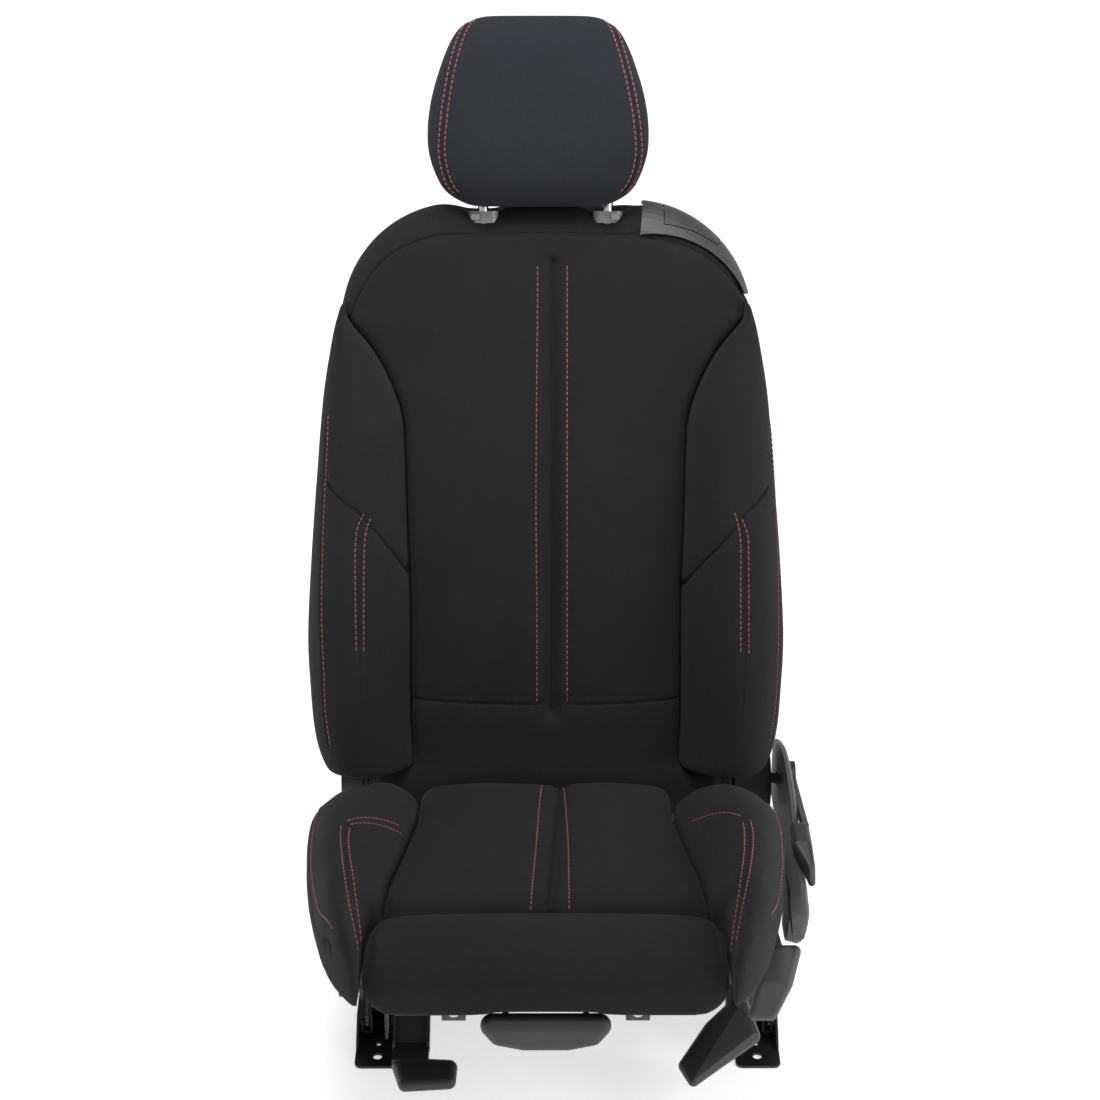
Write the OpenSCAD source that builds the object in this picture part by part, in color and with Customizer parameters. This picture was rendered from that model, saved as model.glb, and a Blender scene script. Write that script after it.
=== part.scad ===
// Manually adjusted sports front seat for a car: two slide rails, a four-link height lift, a cushion with
// a sliding thigh support, a reclining backrest with a fold-forward lever, and a headrest on two posts.
// Millimetres. X runs across the seat (+X is the door side, with the levers), the seat faces -Y, Z is up.
// The origin is the centre of the four floor bolts, on the floor plane.

/* [Rails] */
// Distance across between the two rows of floor bolts
rail_spacing = 425; // [405:5:445]
// Distance along between the front and rear floor bolts
bolt_span = 440; // [420:5:460]
// Radius of each floor bolt hole
bolt_hole_r = 5.25; // [4.25:0.25:6.25]
// Length of the upper rails
upper_rail_len = 370; // [330:10:390]

/* [Seat placing] */
// Sideways offset of the seat's centre from the rails' centre
seat_x = -24; // [-30:1:-18]
// Fore-and-aft offset of the seat on the rails
seat_y = -140; // [-150:5:-130]
// Recline of the backrest from upright, in degrees
recline = 20.5; // [18:0.5:24]

/* [Cushion] */
// Half width of the cushion over its bolsters
cushion_half_w = 256; // [246:1:257]
// Height of the cushion's centre surface at its front edge
cushion_front_z = 302; // [298:1:306]
// Height of the cushion bolsters above the centre surface
bolster_rise = 44; // [34:1:50]

/* [Backrest] */
// Half width of the backrest at its widest
back_half_w = 271; // [262:1:271]
// Distance of the backrest's front surface from the pivot plane
back_front_t = -74; // [-76:1:-72]
// Height of the side bolsters in front of the centre surface
back_bolster_rise = 64; // [50:1:66]

/* [Headrest] */
// Sideways offset of the pad on its posts
headrest_x = -8; // [-10:1:0]
// Distance between the two posts
post_spacing = 140; // [136:1:144]
// Radius of each post
post_r = 6; // [5:0.5:6]

/* [Links] */
// Length of each height link between its two pivots
link_len = 80; // [76:1:82]
// Angle of the links above level when the seat is at its lowest, in degrees
link_angle = 12; // [10:1:14]

/* [Hidden] */
$fn = 48;
eps = 0.01;
plate = 3;              // thickness of pressed steel plates
rail_w = 50;
rail_h = 30;
rail_end = bolt_span / 2 + 18;
latch_x = 18;           // the latches work on the door-side lip of each lower rail
pivot = [165, 215];     // backrest pivot, as [y, z] in the seat's own frame
link_y = [-40, 200];    // lower pivots of the front and rear links
link_z = 72;
link_dy = link_len * cos(link_angle);
link_dz = link_len * sin(link_angle);
member_x = 212;         // inner face of each cushion side member
hub_x = 199;            // outer face of each backrest side member
lever_axis = [6.5, 657]; // pivot of the fold-forward lever, as [t, s] on the backrest
shoulder = [95, 531];   // centre of the shoulder's round corner, as [x, s] on the backrest
shoulder_r = 137.5;
release_axis = [-75, 122];
pump = [-62, 160];      // pivot of the height lever
trim_gap = 1;

// ---------- frames ----------

// The seat's own frame: X from the seat's centre, Y as on the seat, Z from the floor.
module on_seat() translate([seat_x, seat_y, 0]) children();

// The backrest's frame: X across, Y backwards through the backrest, Z up along it, from the pivot.
module on_back() on_seat() translate([0, pivot.x, pivot.y]) rotate([-recline, 0, 0]) children();

// A plate drawn in the Y-Z plane, from x0 to x0 + thick.
module side_plate(x0, thick) translate([x0, 0, 0]) rotate([90, 0, 90]) linear_extrude(thick) children();

// A round bar along X.
module bar_x(x0, x1, r, y = 0, z = 0) translate([x0, y, z]) rotate([0, 90, 0]) cylinder(r = r, h = x1 - x0);

// A link between two points of the Y-Z plane, as a flat shape with a narrower neck between its round ends.
module strut_2d(a, b, r) {
    d = b - a;
    translate(a) rotate(atan2(d.y, d.x)) translate([0, -0.82 * r]) square([norm(d), 1.64 * r]);
    translate(a) circle(r);
    translate(b) circle(r);
}

// A rectangle with round corners, centred.
module rounded_2d(w, h, r) {
    square([w - 2 * r, h], center = true);
    square([w, h - 2 * r], center = true);
    for (x = [-1, 1]) for (y = [-1, 1]) translate([x * (w / 2 - r), y * (h / 2 - r)]) circle(r);
}

// ---------- smooth curves ----------

function clamp01(t) = min(1, max(0, t));
function smooth(t) = let (u = clamp01(t)) u * u * (3 - 2 * u);

// Smooth interpolation through [position, value] knots in rising order of position.
function knot_at(k, v, i = 0) = (i >= len(k) - 2 || v < k[i + 1].x) ? i : knot_at(k, v, i + 1);
function slope_at(k, i) = i == 0 ? (k[1].y - k[0].y) / (k[1].x - k[0].x)
    : i == len(k) - 1 ? (k[i].y - k[i - 1].y) / (k[i].x - k[i - 1].x)
    : (k[i + 1].y - k[i - 1].y) / (k[i + 1].x - k[i - 1].x);
function curve(k, v) =
    let (i = knot_at(k, v), h = k[i + 1].x - k[i].x, t = clamp01((v - k[i].x) / h))
    (2 * pow(t, 3) - 3 * t * t + 1) * k[i].y + (pow(t, 3) - 2 * t * t + t) * h * slope_at(k, i)
    + (3 * t * t - 2 * pow(t, 3)) * k[i + 1].y + (pow(t, 3) - t * t) * h * slope_at(k, i + 1);

// A closed skin over rings of points, each ring with the same number of points.
module loft(rings) {
    n = len(rings[0]);
    m = len(rings);
    polyhedron(
        [for (r = rings) each r],
        concat(
            [[for (i = [n - 1:-1:0]) i], [for (i = [0:n - 1]) (m - 1) * n + i]],
            [for (j = [0:m - 2]) for (i = [0:n - 1]) let (a = j * n + i, b = j * n + (i + 1) % n)
                each [[a, b, b + n], [a, b + n, a + n]]]
        ),
        convexity = 8
    );
}

// ---------- cushion outline ----------

slope = 38 / 319;       // fall of the centre surface towards the back
function cushion_top(y) = cushion_front_z - (y + 215) * slope;
function cushion_bottom(y) = cushion_top(y) - 62;
// Half width of the centre panel.
function panel_half(y) = curve([[-330, 184], [-312, 184], [-232, 180], [-212, 170], [-150, 164], [-94, 155],
    [-35, 147], [5, 142], [90, 140]], y);
// Half width over the bolsters.
function cushion_half(y) = cushion_half_w - 256 + curve([[-328, 186], [-313, 199], [-281, 216], [-248, 227.5],
    [-213, 236], [-178, 243.5], [-143, 249.5], [-106, 253], [-68, 256], [-29, 255], [11, 243], [34, 236]], y);
function bolster_height(y) = bolster_rise * curve([[-328, 0.15], [-300, 0.62], [-240, 0.95], [-160, 1], [-60, 0.95],
    [0, 0.66], [36, 0.38]], y);

// ---------- backrest outline ----------

back_knots = [[0, 232], [22, 249], [60, 263], [130, 269.5], [180, 271], [270, 266], [365, 258.5], [455, 250],
    [523, 238], [559, 229.6]];
function back_half(s) = s > 559 ? shoulder.x + sqrt(max(0, shoulder_r * shoulder_r - pow(s - shoulder.y, 2)))
    : curve(back_knots, s) * (1 + (back_half_w / 271 - 1) * smooth((500 - s) / 200));
// Where the centre panel ends and the bolster begins.
function seam_half(s) = curve([[0, 153], [118, 153.5], [220, 153], [311, 156], [379, 157.5], [423, 160], [446, 166],
    [479, 180], [502, 193.5], [524, 212], [545, 231]], s);
function back_bolster(s) = back_bolster_rise * curve([[0, 0.8], [100, 1], [250, 1], [380, 0.76], [460, 0.45],
    [545, 0.06]], s);
// The top edge dips between the shoulders, under the headrest.
function top_dip(x, s) = -12 * (1 - smooth((abs(x) - 50) / 55)) * smooth((s - 560) / 108);

// ---------- rails ----------

module rail_wall_2d() polygon([[25, 0], [25, 30], [13.5, 30], [13.5, 22], [16, 22], [16, 27.5], [22.5, 27.5], [22.5, 0]]);

module lower_rail(side) color([0.05, 0.05, 0.055]) translate([side * rail_spacing / 2, 0, 0]) difference() {
    union() {
        linear_extrude(plate) rounded_2d(rail_w, 2 * rail_end, 8);
        difference() {
            for (m = [0, 1]) mirror([m, 0, 0]) rotate([90, 0, 0])
                linear_extrude(2 * rail_end - 60, center = true) rail_wall_2d();
            for (m = [0, 1]) mirror([0, m, 0]) translate([0, -rail_end + 26, plate]) rotate([-50, 0, 0])
                translate([-rail_w, -60, 0]) cube([2 * rail_w, 60, 80]);
        }
    }
    for (y = [-bolt_span / 2, bolt_span / 2]) translate([0, y, -1]) cylinder(r = bolt_hole_r, h = plate + 2);
    for (y = [-1, 1]) translate([0, y * (bolt_span / 2 - 22), -1]) cylinder(r = 3, h = plate + 2);
}

module latch_strips() color([0.45, 0.45, 0.46]) for (side = [-1, 1]) translate([side * rail_spacing / 2 + latch_x, 0, rail_h])
    difference() {
        translate([-3, -170, 0]) cube([6, 340, 5]);
        for (i = [-15:15]) translate([-4, i * 10 - 2.5, 2]) cube([8, 5, 4]);
    }

module rail_end_caps() color([0.06, 0.06, 0.065]) for (side = [-1, 1]) translate([side * rail_spacing / 2, 0, 0]) difference() {
    translate([-27.5, 176, 3.2]) cube([55, 24, 29.8]);
    translate([-25.3, 170, 3]) cube([50.6, 40, 27.3]);
    translate([-13, 170, 25]) cube([26, 40, 20]);
}

// ---------- upper rails and what rides on them ----------

upper_y0 = -seat_y - 185;

module upper_rail_2d() polygon(let (right = [[7.5, 8], [20, 8], [20, 25], [17.5, 25], [17.5, 10.5], [10, 10.5], [10, 46]])
    concat([[7.5, 43.5]], right, [for (i = [len(right) - 1:-1:0]) [-right[i].x, right[i].y]], [[-7.5, 43.5]]));

module upper_rail(side) color([0.07, 0.07, 0.075]) on_seat()
    translate([side * rail_spacing / 2 - seat_x, upper_y0, 0]) difference() {
        translate([0, upper_rail_len, 0]) rotate([90, 0, 0]) linear_extrude(upper_rail_len) upper_rail_2d();
        for (y = [14, 34]) translate([0, y, 30]) cylinder(r = 4, h = 30);
    }

module rail_glides() color([0.75, 0.75, 0.7]) on_seat() for (side = [-1, 1]) for (m = [-1, 1]) for (y = [30, 300])
    translate([side * rail_spacing / 2 - seat_x + m * 21.1, upper_y0 + y, 17]) cube([2.2, 36, 14], center = true);

// The link brackets stand on the inner side of the door-side rail and the outer side of the other one.
function rail_centre(side) = side * rail_spacing / 2 - seat_x;
function bracket_x(side) = side > 0 ? rail_centre(1) - 13 : rail_centre(-1) - 13;
function link_x(side) = side > 0 ? member_x + 6 : -member_x + 4;

module link_brackets() color([0.07, 0.07, 0.075]) on_seat() for (side = [-1, 1]) for (y = link_y)
    side_plate(bracket_x(side), plate) difference() {
        union() {
            translate([y - 24, 33]) square([48, 14]);
            polygon([[y - 24, 45], [y + 24, 45], [y + 11, link_z], [y - 11, link_z]]);
            translate([y, link_z]) circle(13);
        }
        translate([y, link_z]) circle(6);
    }

module link_pins() color([0.5, 0.5, 0.5]) on_seat() for (side = [-1, 1]) for (y = link_y) {
    bar_x(link_x(side) - 0.5, bracket_x(side) + plate + 0.5, 6, y, link_z);
    bar_x(bracket_x(side) + plate + 0.5, bracket_x(side) + plate + 4.5, 10, y, link_z);
    bar_x(link_x(side) - 3.5, link_x(side) - 0.5, 9, y, link_z);
}

module link_pair(row) color([0.08, 0.08, 0.085]) on_seat() for (side = [-1, 1]) {
    a = [link_y[row], link_z];
    b = a + [link_dy, link_dz];
    side_plate(link_x(side), 4) difference() {
        strut_2d(a, b, 17);
        translate(a) circle(6.05);
        translate(b) circle(8);
    }
}

module torque_tube(row) color([0.06, 0.06, 0.065]) on_seat() {
    y = link_y[row] + link_dy;
    z = link_z + link_dz;
    difference() {
        bar_x(-member_x + 8.5, member_x - 1.5, 14, y, z);
        bar_x(-member_x + 14, member_x - 7, 11.5, y, z);
    }
    bar_x(-member_x - 7, -member_x + 8.5, 8, y, z);
    bar_x(member_x - 1.5, member_x + 10, 8, y, z);
}

// ---------- slide release ----------

module release_bearings() color([0.07, 0.07, 0.075]) on_seat() for (side = [-1, 1]) {
    x = rail_centre(side);
    inner = x - side * 10;
    side_plate(side > 0 ? inner - plate : inner, plate) difference() {
        union() {
            translate([release_axis.x - 13, 33]) square([22, release_axis.y - 33]);
            translate(release_axis) circle(12);
        }
        translate(release_axis) circle(7.05);
    }
}

module release_tube() color([0.08, 0.08, 0.085]) on_seat() {
    x0 = rail_centre(-1) - 3;
    x1 = rail_centre(1) + 3;
    difference() {
        bar_x(x0, x1, 7, release_axis.x, release_axis.y);
        bar_x(x0 - 1, x1 + 1, 5, release_axis.x, release_axis.y);
    }
    for (side = [-1, 1]) side_plate(rail_centre(side) - 1.5, plate) difference() {
        strut_2d(release_axis, [-21, 68], 9);
        translate(release_axis) circle(6.5);
    }
}

// The lever at the door side: a flat curved blade that leans forwards and towards the seat's centre.
module release_paddle() color([0.09, 0.09, 0.095]) on_seat() difference() {
    union() {
        hull() {
            translate([210, -112, 92]) sphere(r = 13, $fn = 32);
            translate([222, -140, 78]) sphere(r = 10, $fn = 32);
            translate([150, -176, 66]) sphere(r = 8, $fn = 32);
            translate([157, -196, 62]) sphere(r = 6, $fn = 32);
            translate([180, -136, 84]) sphere(r = 9, $fn = 32);
        }
        side_plate(196, 6) strut_2d([-116, 94], release_axis, 9);
    }
    bar_x(180, 220, 7, release_axis.x, release_axis.y);
}

// The matching grip at the tunnel side, on a broad channel-shaped arm.
module release_grip() color([0.06, 0.06, 0.065]) on_seat() difference() {
    union() {
        for (x = [-166, -129]) side_plate(x, 3) strut_2d([-140, 68], release_axis, 9);
        translate([-165.5, -144, 64]) rotate([39.4, 0, 0]) translate([0, 0, -1]) cube([39, 79, 3]);
        hull() {
            translate([-157, -168, 60]) sphere(r = 9, $fn = 32);
            translate([-104, -172, 60]) sphere(r = 9, $fn = 32);
            translate([-150, -196, 58]) sphere(r = 8, $fn = 32);
            translate([-104, -192, 58]) sphere(r = 8, $fn = 32);
        }
        translate([-165.5, -170, 58.3]) cube([39, 32, 11.5]);
    }
    bar_x(-180, -120, 7, release_axis.x, release_axis.y);
}

// ---------- cushion frame ----------

module side_member(side) color([0.06, 0.06, 0.065]) on_seat()
    side_plate(side > 0 ? member_x : -member_x - plate, plate) difference() {
        union() {
            polygon([[-205, 180], [-120, 168], [-20, 128], [10, 98], [20, 74], [56, 74], [66, 98], [120, 124],
                [228, 108], [256, 78], [300, 80], [300, 112], [250, 150], [203, 212], [127, 212], [118, 196],
                [70, 172], [24, 166], [-20, 196], [-120, 222], [-204, 222], [-212, 196]]);
            translate(pivot) circle(38);
            for (y = link_y) translate([y + link_dy, link_z + link_dz]) circle(20);
        }
        for (y = link_y) translate([y + link_dy, link_z + link_dz]) circle(8.05);
        translate(pump) circle(8.05);
        translate(pivot) circle(6.05);
        for (c = [[-150, 196, 9], [-20, 163, 9], [70, 136, 12], [150, 155, 13]]) translate([c[0], c[1]]) circle(c[2]);
    }

module cushion_pan() color([0.07, 0.07, 0.075]) on_seat() {
    translate([-member_x, -200, 217]) cube([2 * member_x, 126, 2]);
    translate([-member_x, -200, 192]) cube([2 * member_x, 2, 25]);
    translate([-member_x, -76, 200]) cube([2 * member_x, 2, 17]);
}

module rear_cross_tube() color([0.07, 0.07, 0.075]) on_seat() difference() {
    bar_x(-member_x, member_x, 12, 226, 132);
    bar_x(-member_x + 5, member_x - 5, 9.5, 226, 132);
}

module seat_springs() color([0.35, 0.35, 0.36]) on_seat() {
    pitch = 15.3;
    for (x = [-120, -40, 40, 120]) for (i = [0:6]) {
        y = -72.2 + i * pitch;
        z = cushion_bottom(y) - 5;
        translate([x - 16, y, z]) rotate([0, 90, 0]) cylinder(r = 1.8, h = 32, $fn = 16);
        if (i < 6) translate([x + (i % 2 == 0 ? 15 : -15), y, z]) rotate([-90 - atan(slope), 0, 0])
            cylinder(r = 1.8, h = pitch / cos(atan(slope)), $fn = 16);
    }
    bar_x(-member_x, member_x, 3, 24.2, cushion_bottom(19.6) - 5);
}

module height_pump() color([0.2, 0.2, 0.2]) on_seat() difference() {
    union() {
        bar_x(member_x + plate, member_x + 14, 22, pump.x, pump.y);
        bar_x(member_x - 8, member_x, 16, pump.x, pump.y);
    }
    bar_x(member_x - 20, member_x + 30, 8.05, pump.x, pump.y);
}

module recliner_bases() color([0.3, 0.3, 0.31]) on_seat() for (side = [-1, 1]) difference() {
    bar_x(side > 0 ? member_x - 6 : -member_x, side > 0 ? member_x : -member_x + 6, 35, pivot.x, pivot.y);
    bar_x(-member_x - 1, member_x + 1, 6.05, pivot.x, pivot.y);
}

module recliner_cap() color([0.07, 0.07, 0.075]) on_seat() difference() {
    union() {
        bar_x(-member_x - plate - 16, -member_x - plate, 36, pivot.x, pivot.y);
        bar_x(-member_x - plate - 22, -member_x - plate - 16, 30, pivot.x, pivot.y);
    }
    bar_x(-member_x - plate - 12, -member_x - plate + 1, 32, pivot.x, pivot.y);
}

// ---------- side trim and levers ----------

trim_outer = [[-162, 270], [-150, 274], [-130, 278], [-90, 281], [-40, 283], [40, 283], [90, 282], [150, 280], [205, 277]];
trim_top = [[-162, 229], [-150, 238], [-130, 243], [-95, 244], [-75, 238], [-20, 237], [20, 243], [60, 256], [100, 265],
    [150, 266], [190, 254], [205, 240]];
trim_bottom = [[-162, 219], [-125, 216.5], [-105, 186], [-80, 156], [-40, 138], [60, 140], [150, 152], [205, 170]];

function trim_ring(y) = let (xo = curve(trim_outer, y), t = curve(trim_top, y), b = curve(trim_bottom, y),
    m = (t + b) / 2, e = min(1, (t - b) / 40), lip = max(258.5, xo - 20) + smooth((y + 20) / 40) * max(0, xo - 9 - max(258.5, xo - 20)))
    [[lip, y, b + 4 * e], [lip, y, t - 4 * e], [xo - 8, y, t], [xo - 3.5, y, t - 2 * e], [xo - 1, y, t - 6 * e],
        [xo + 0.5, y, m + 0.4 * (t - m)], [xo + 1, y, m], [xo + 0.5, y, b + 0.5 * (m - b)], [xo - 1, y, b + 8 * e],
        [xo - 4, y, b + 2 * e], [xo - 8, y, b]];

module side_trim() color([0.16, 0.16, 0.165]) on_seat() difference() {
    loft([for (y = [-162, -159, -154, each [-146:8:-82], each [-70:10:200], 203.5, 205]) trim_ring(y)]);
    translate([250, pivot.x, pivot.y]) rotate([0, 90, 0]) cylinder(r = 9, h = 50, $fn = 12);
}

// A broad blade under the trim's nose, on an arm that runs back to the pump.
module height_lever() color([0.16, 0.16, 0.165]) on_seat() {
    hull() {
        for (x = [237, 263]) translate([x, -148, 195]) sphere(r = 7, $fn = 24);
        for (x = [219, 237]) translate([x, -193, 147]) sphere(r = 6, $fn = 24);
        for (x = [229, 253]) translate([x, -176, 175]) sphere(r = 7, $fn = 24);
    }
    side_plate(243, 9) strut_2d([-150, 187], pump, 10.5);
    bar_x(member_x + 1, 252, 8, pump.x, pump.y);
}

// The grip lies over the trim's top edge; its arm runs back outside the trim to the recliner.
module recline_lever() color([0.12, 0.12, 0.125]) on_seat() difference() {
    union() {
        bar_x(284.4, 291, 20, pivot.x, pivot.y);
        side_plate(284.4, 6) strut_2d(pivot + [-4, 2], [6, 246], 9);
        hull() {
            for (y = [4, -30]) for (x = [276, 284]) translate([x, y, y < 0 ? 250.5 : 249.5]) sphere(r = 7, $fn = 24);
            translate([287, -62, 243]) sphere(r = 4.5, $fn = 24);
            translate([287, -74, 232]) sphere(r = 4, $fn = 24);
            translate([287, 4, 243]) sphere(r = 4, $fn = 24);
        }
    }
    bar_x(280, 300, 6, pivot.x, pivot.y);
}

module recliner_shaft() color([0.45, 0.45, 0.46]) on_seat() bar_x(-member_x - 6, 291, 6, pivot.x, pivot.y);

// ---------- thigh support ----------

rod_x = 92;
handle_axis = [-282, 236];
rod_z = 229.5;

module thigh_guide_tubes() color([0.3, 0.3, 0.31]) on_seat() for (x = [-rod_x, rod_x])
    translate([x, -112, rod_z]) rotate([90, 0, 0]) difference() {
        cylinder(r = 10.5, h = 86);
        translate([0, 0, -1]) cylinder(r = 6.15, h = 88);
    }

module thigh_rods() color([0.6, 0.6, 0.6]) on_seat() for (x = [-rod_x, rod_x])
    translate([x, -111, rod_z]) rotate([90, 0, 0]) cylinder(r = 6, h = 185);

module thigh_tray() color([0.07, 0.07, 0.075]) on_seat() difference() {
    union() {
        translate([-172, -304, 247]) cube([344, 84, 6]);
        for (m = [0, 1]) mirror([m, 0, 0]) translate([80, -304, 232]) cube([70, 4, 15]);
        for (x = [-rod_x, rod_x]) translate([x - 12, -296, 219.5]) cube([24, 60, 27.6]);
        for (x = [-53, 47]) translate([x, -288, 230]) cube([6, 12, 17.1]);
        bar_x(-52, 52, 2.5, handle_axis.x, handle_axis.y);
    }
    for (x = [-rod_x, rod_x]) translate([x, -200, rod_z]) rotate([90, 0, 0]) cylinder(r = 6, h = 110);
}

module thigh_bellows() color([0.05, 0.05, 0.055]) on_seat() translate([-160, -219.6, 258]) cube([320, 68, 8]);

function thigh_ring(y, rise, z0) = let (h = panel_half(y) - 1.5, t = cushion_front_z + rise, c = min(16, (t - z0) / 3))
    [[-h + 5, y, z0], [-h, y, z0 + c / 2], [-h, y, t - c - 4], [-h + 4, y, t - 6], [-h + c, y, t - 1], [-h / 2, y, t + 2],
        [0, y, t + 3], [h / 2, y, t + 2], [h - c, y, t - 1], [h - 4, y, t - 6], [h, y, t - c - 4], [h, y, z0 + c / 2],
        [h - 5, y, z0]];

module thigh_pad() color([0.03, 0.03, 0.033]) on_seat() loft([
    thigh_ring(-220, -8, 256), thigh_ring(-228, 0, 255), thigh_ring(-255, 4, 254), thigh_ring(-285, 2, 254),
    thigh_ring(-305.4, -3, 253.5), thigh_ring(-306, -3.3, 244.5), thigh_ring(-316, -12, 244), thigh_ring(-322, -24, 247)]);

module thigh_handle() color([0.1, 0.1, 0.105]) on_seat() difference() {
    union() {
        difference() {
            hull() {
                for (x = [-53, 53]) translate([x, -312, 226]) sphere(r = 12, $fn = 32);
                for (x = [-46, 46]) translate([x, -312.5, 215]) sphere(r = 11, $fn = 32);
                for (x = [-22, 22]) translate([x, -313, 208.5]) sphere(r = 10, $fn = 32);
            }
            translate([-58, -309, 190]) cube([116, 30, 46]);
            translate([-80, -335, 240]) cube([160, 50, 12]);
        }
        for (x = [-40, 40]) side_plate(x - 3, 6) strut_2d([-314, 228], handle_axis, 5);
    }
    bar_x(-60, 60, 2.55, handle_axis.x, handle_axis.y);
}

// ---------- cushion pads ----------

function centre_ring(y, rise, z0) = let (h = panel_half(y) - 1, t = cushion_top(y) + rise)
    [[-h, y, z0], [-h, y, t - 20], [-h + 4, y, t - 8], [-h + 16, y, t - 1], [-h / 2, y, t + 3], [0, y, t + 2],
        [h / 2, y, t + 3], [h - 16, y, t - 1], [h - 4, y, t - 8], [h, y, t - 20], [h, y, z0]];

module cushion_center_pad() color([0.035, 0.035, 0.038]) on_seat() difference() {
    loft([centre_ring(84, -9, 214), centre_ring(77, -2, 208), for (y = [60, 20, -20, -60, -104]) centre_ring(y, 0, cushion_bottom(y)),
        centre_ring(-108, 0, 242), centre_ring(-145, 0, 242), centre_ring(-190, 0, 243), centre_ring(-207, -4, 244),
        centre_ring(-213, -14, 246)]);
    translate([-163, -216, 200]) cube([326, 72, 68]);
    translate([-200, 0, 0]) bar_x(0, 400, 79, pivot.x, pivot.y);
}

function cushion_bolster_ring(y) = let (xi = panel_half(y) + 1, t = cushion_top(y), r = bolster_height(y),
    xo = cushion_half(y) - (cushion_half(y) - 210) * smooth((y - 12) / 12),
    b = cushion_bottom(y) + 2 + 12 * smooth((y - 12) / 12),
    d = b - 3 - (3 + 28 * smooth((y + 128) / 30)) * (1 - smooth((y - 17) / 7)),
    xs = max(xi + 3, min(member_x + plate + 3, xo - 8)), w = xo - xi)
    [for (p = [[xi, b], [xi, t - 14], [xi + 0.1 * w, t + 0.25 * r], [xi + 0.35 * w, t + 0.86 * r], [xi + 0.6 * w, t + r],
        [xi + 0.82 * w, t + 0.8 * r], [xo - 3, t + 0.2 * r], [xo, t - 20], [xo - 1, d + 10], [xo - 6, d], [xs, d + 2], [xs, b]])
        [p.x, y, p.y]];

module cushion_bolster(side) color([0.03, 0.03, 0.033]) on_seat() mirror([side > 0 ? 0 : 1, 0, 0])
    loft([for (y = [34, 29, 24, 17, 8, -8, -30, -60, -95, -112, -130, -150, -175, -200, -225, -250, -275, -297, -314, -326])
        cushion_bolster_ring(y)]);

// ---------- backrest frame ----------

module backrest_member(side) color([0.06, 0.06, 0.065]) on_back() difference() {
    side_plate(side > 0 ? hub_x - plate : -hub_x, plate) difference() {
        union() {
            polygon([[-20, 0], [10, -20], [16.5, 20], [16, 120], [16, 560], [-19, 560], [-20, 60], [-26, 14]]);
            circle(34);
        }
        circle(6.05);
        for (s = [110, 200, 290, 380, 470]) translate([0, s]) circle(9);
    }
}

module recliner_hubs() color([0.3, 0.3, 0.31]) on_back() for (side = [-1, 1]) difference() {
    bar_x(side > 0 ? hub_x : -member_x + 6.3, side > 0 ? member_x - 6.3 : -hub_x, 33);
    bar_x(-member_x, member_x, 6.05);
}

module upper_crossmember() color([0.06, 0.06, 0.065]) on_back() difference() {
    union() {
        translate([-hub_x + plate, 0, 548]) rotate([0, 90, 0]) cylinder(r = 11, h = 2 * (hub_x - plate));
        for (x = [-1, 1]) translate([x * post_spacing / 2 - 14, -32, 536]) cube([28, 34, 24]);
    }
    translate([-hub_x + 8, 0, 548]) rotate([0, 90, 0]) cylinder(r = 8.5, h = 2 * hub_x - 16);
    for (x = [-1, 1]) translate([x * post_spacing / 2, -42, 500]) cylinder(r = 11.1, h = 90);
}

module lower_crossmember() color([0.06, 0.06, 0.065]) on_back() {
    translate([-hub_x + plate, -6, 44]) cube([2 * (hub_x - plate), 20, 2.5]);
    translate([-hub_x + plate, 11.5, 20]) cube([2 * (hub_x - plate), 2.5, 24]);
}

module suspension_mat() color([0.35, 0.35, 0.36]) on_back() {
    for (s = [130, 190, 250, 310, 370, 430]) translate([-hub_x + plate, -12, s]) rotate([0, 90, 0])
        cylinder(r = 1.8, h = 2 * (hub_x - plate), $fn = 16);
    for (x = [-70, 70]) translate([x, -8, 120]) cylinder(r = 2, h = 320, $fn = 16);
}

module lumbar_plate() color([0.1, 0.1, 0.1]) on_back() translate([0, -15, 200]) rotate([90, 0, 0]) linear_extrude(3.5)
    difference() {
        rounded_2d(200, 150, 20);
        for (i = [-2:2]) translate([i * 34, 0]) rounded_2d(10, 100, 4);
    }

module airbag_module() color([0.12, 0.12, 0.12]) on_back() translate([hub_x + 1, -16, 262]) cube([24, 30, 160]);

// Outline of the backrest in the X-Z plane, pulled in by an inset.
function back_outline(inset) = let (half = concat(
    [[184 - inset, 8 + inset], [184 - inset, 40 + inset]],
    [for (s = [40 + inset, 60, 100, 150, 200, 260, 320, 380, 440, 500, 540]) if (s >= 40 + inset) [back_half(s) - inset, s]],
    [for (a = [14:12:86]) shoulder + (shoulder_r - inset) * [cos(a), sin(a)]], [[50, 657 - inset]]))
    concat(half, [for (i = [len(half) - 1:-1:0]) [-half[i].x, half[i].y]]);

module back_shell() color([0.06, 0.06, 0.065]) on_back() {
    translate([0, 26, 0]) rotate([90, 0, 0]) linear_extrude(3.5) polygon(back_outline(6));
    translate([0, 22.6, 0]) rotate([90, 0, 0]) linear_extrude(5.2) difference() {
        polygon(back_outline(6));
        polygon(back_outline(9));
    }
    translate([0, 33, 0]) rotate([90, 0, 0]) linear_extrude(7.1) difference() {
        polygon(back_outline(34));
        polygon(back_outline(38));
    }
}

// ---------- backrest pads ----------

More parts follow.
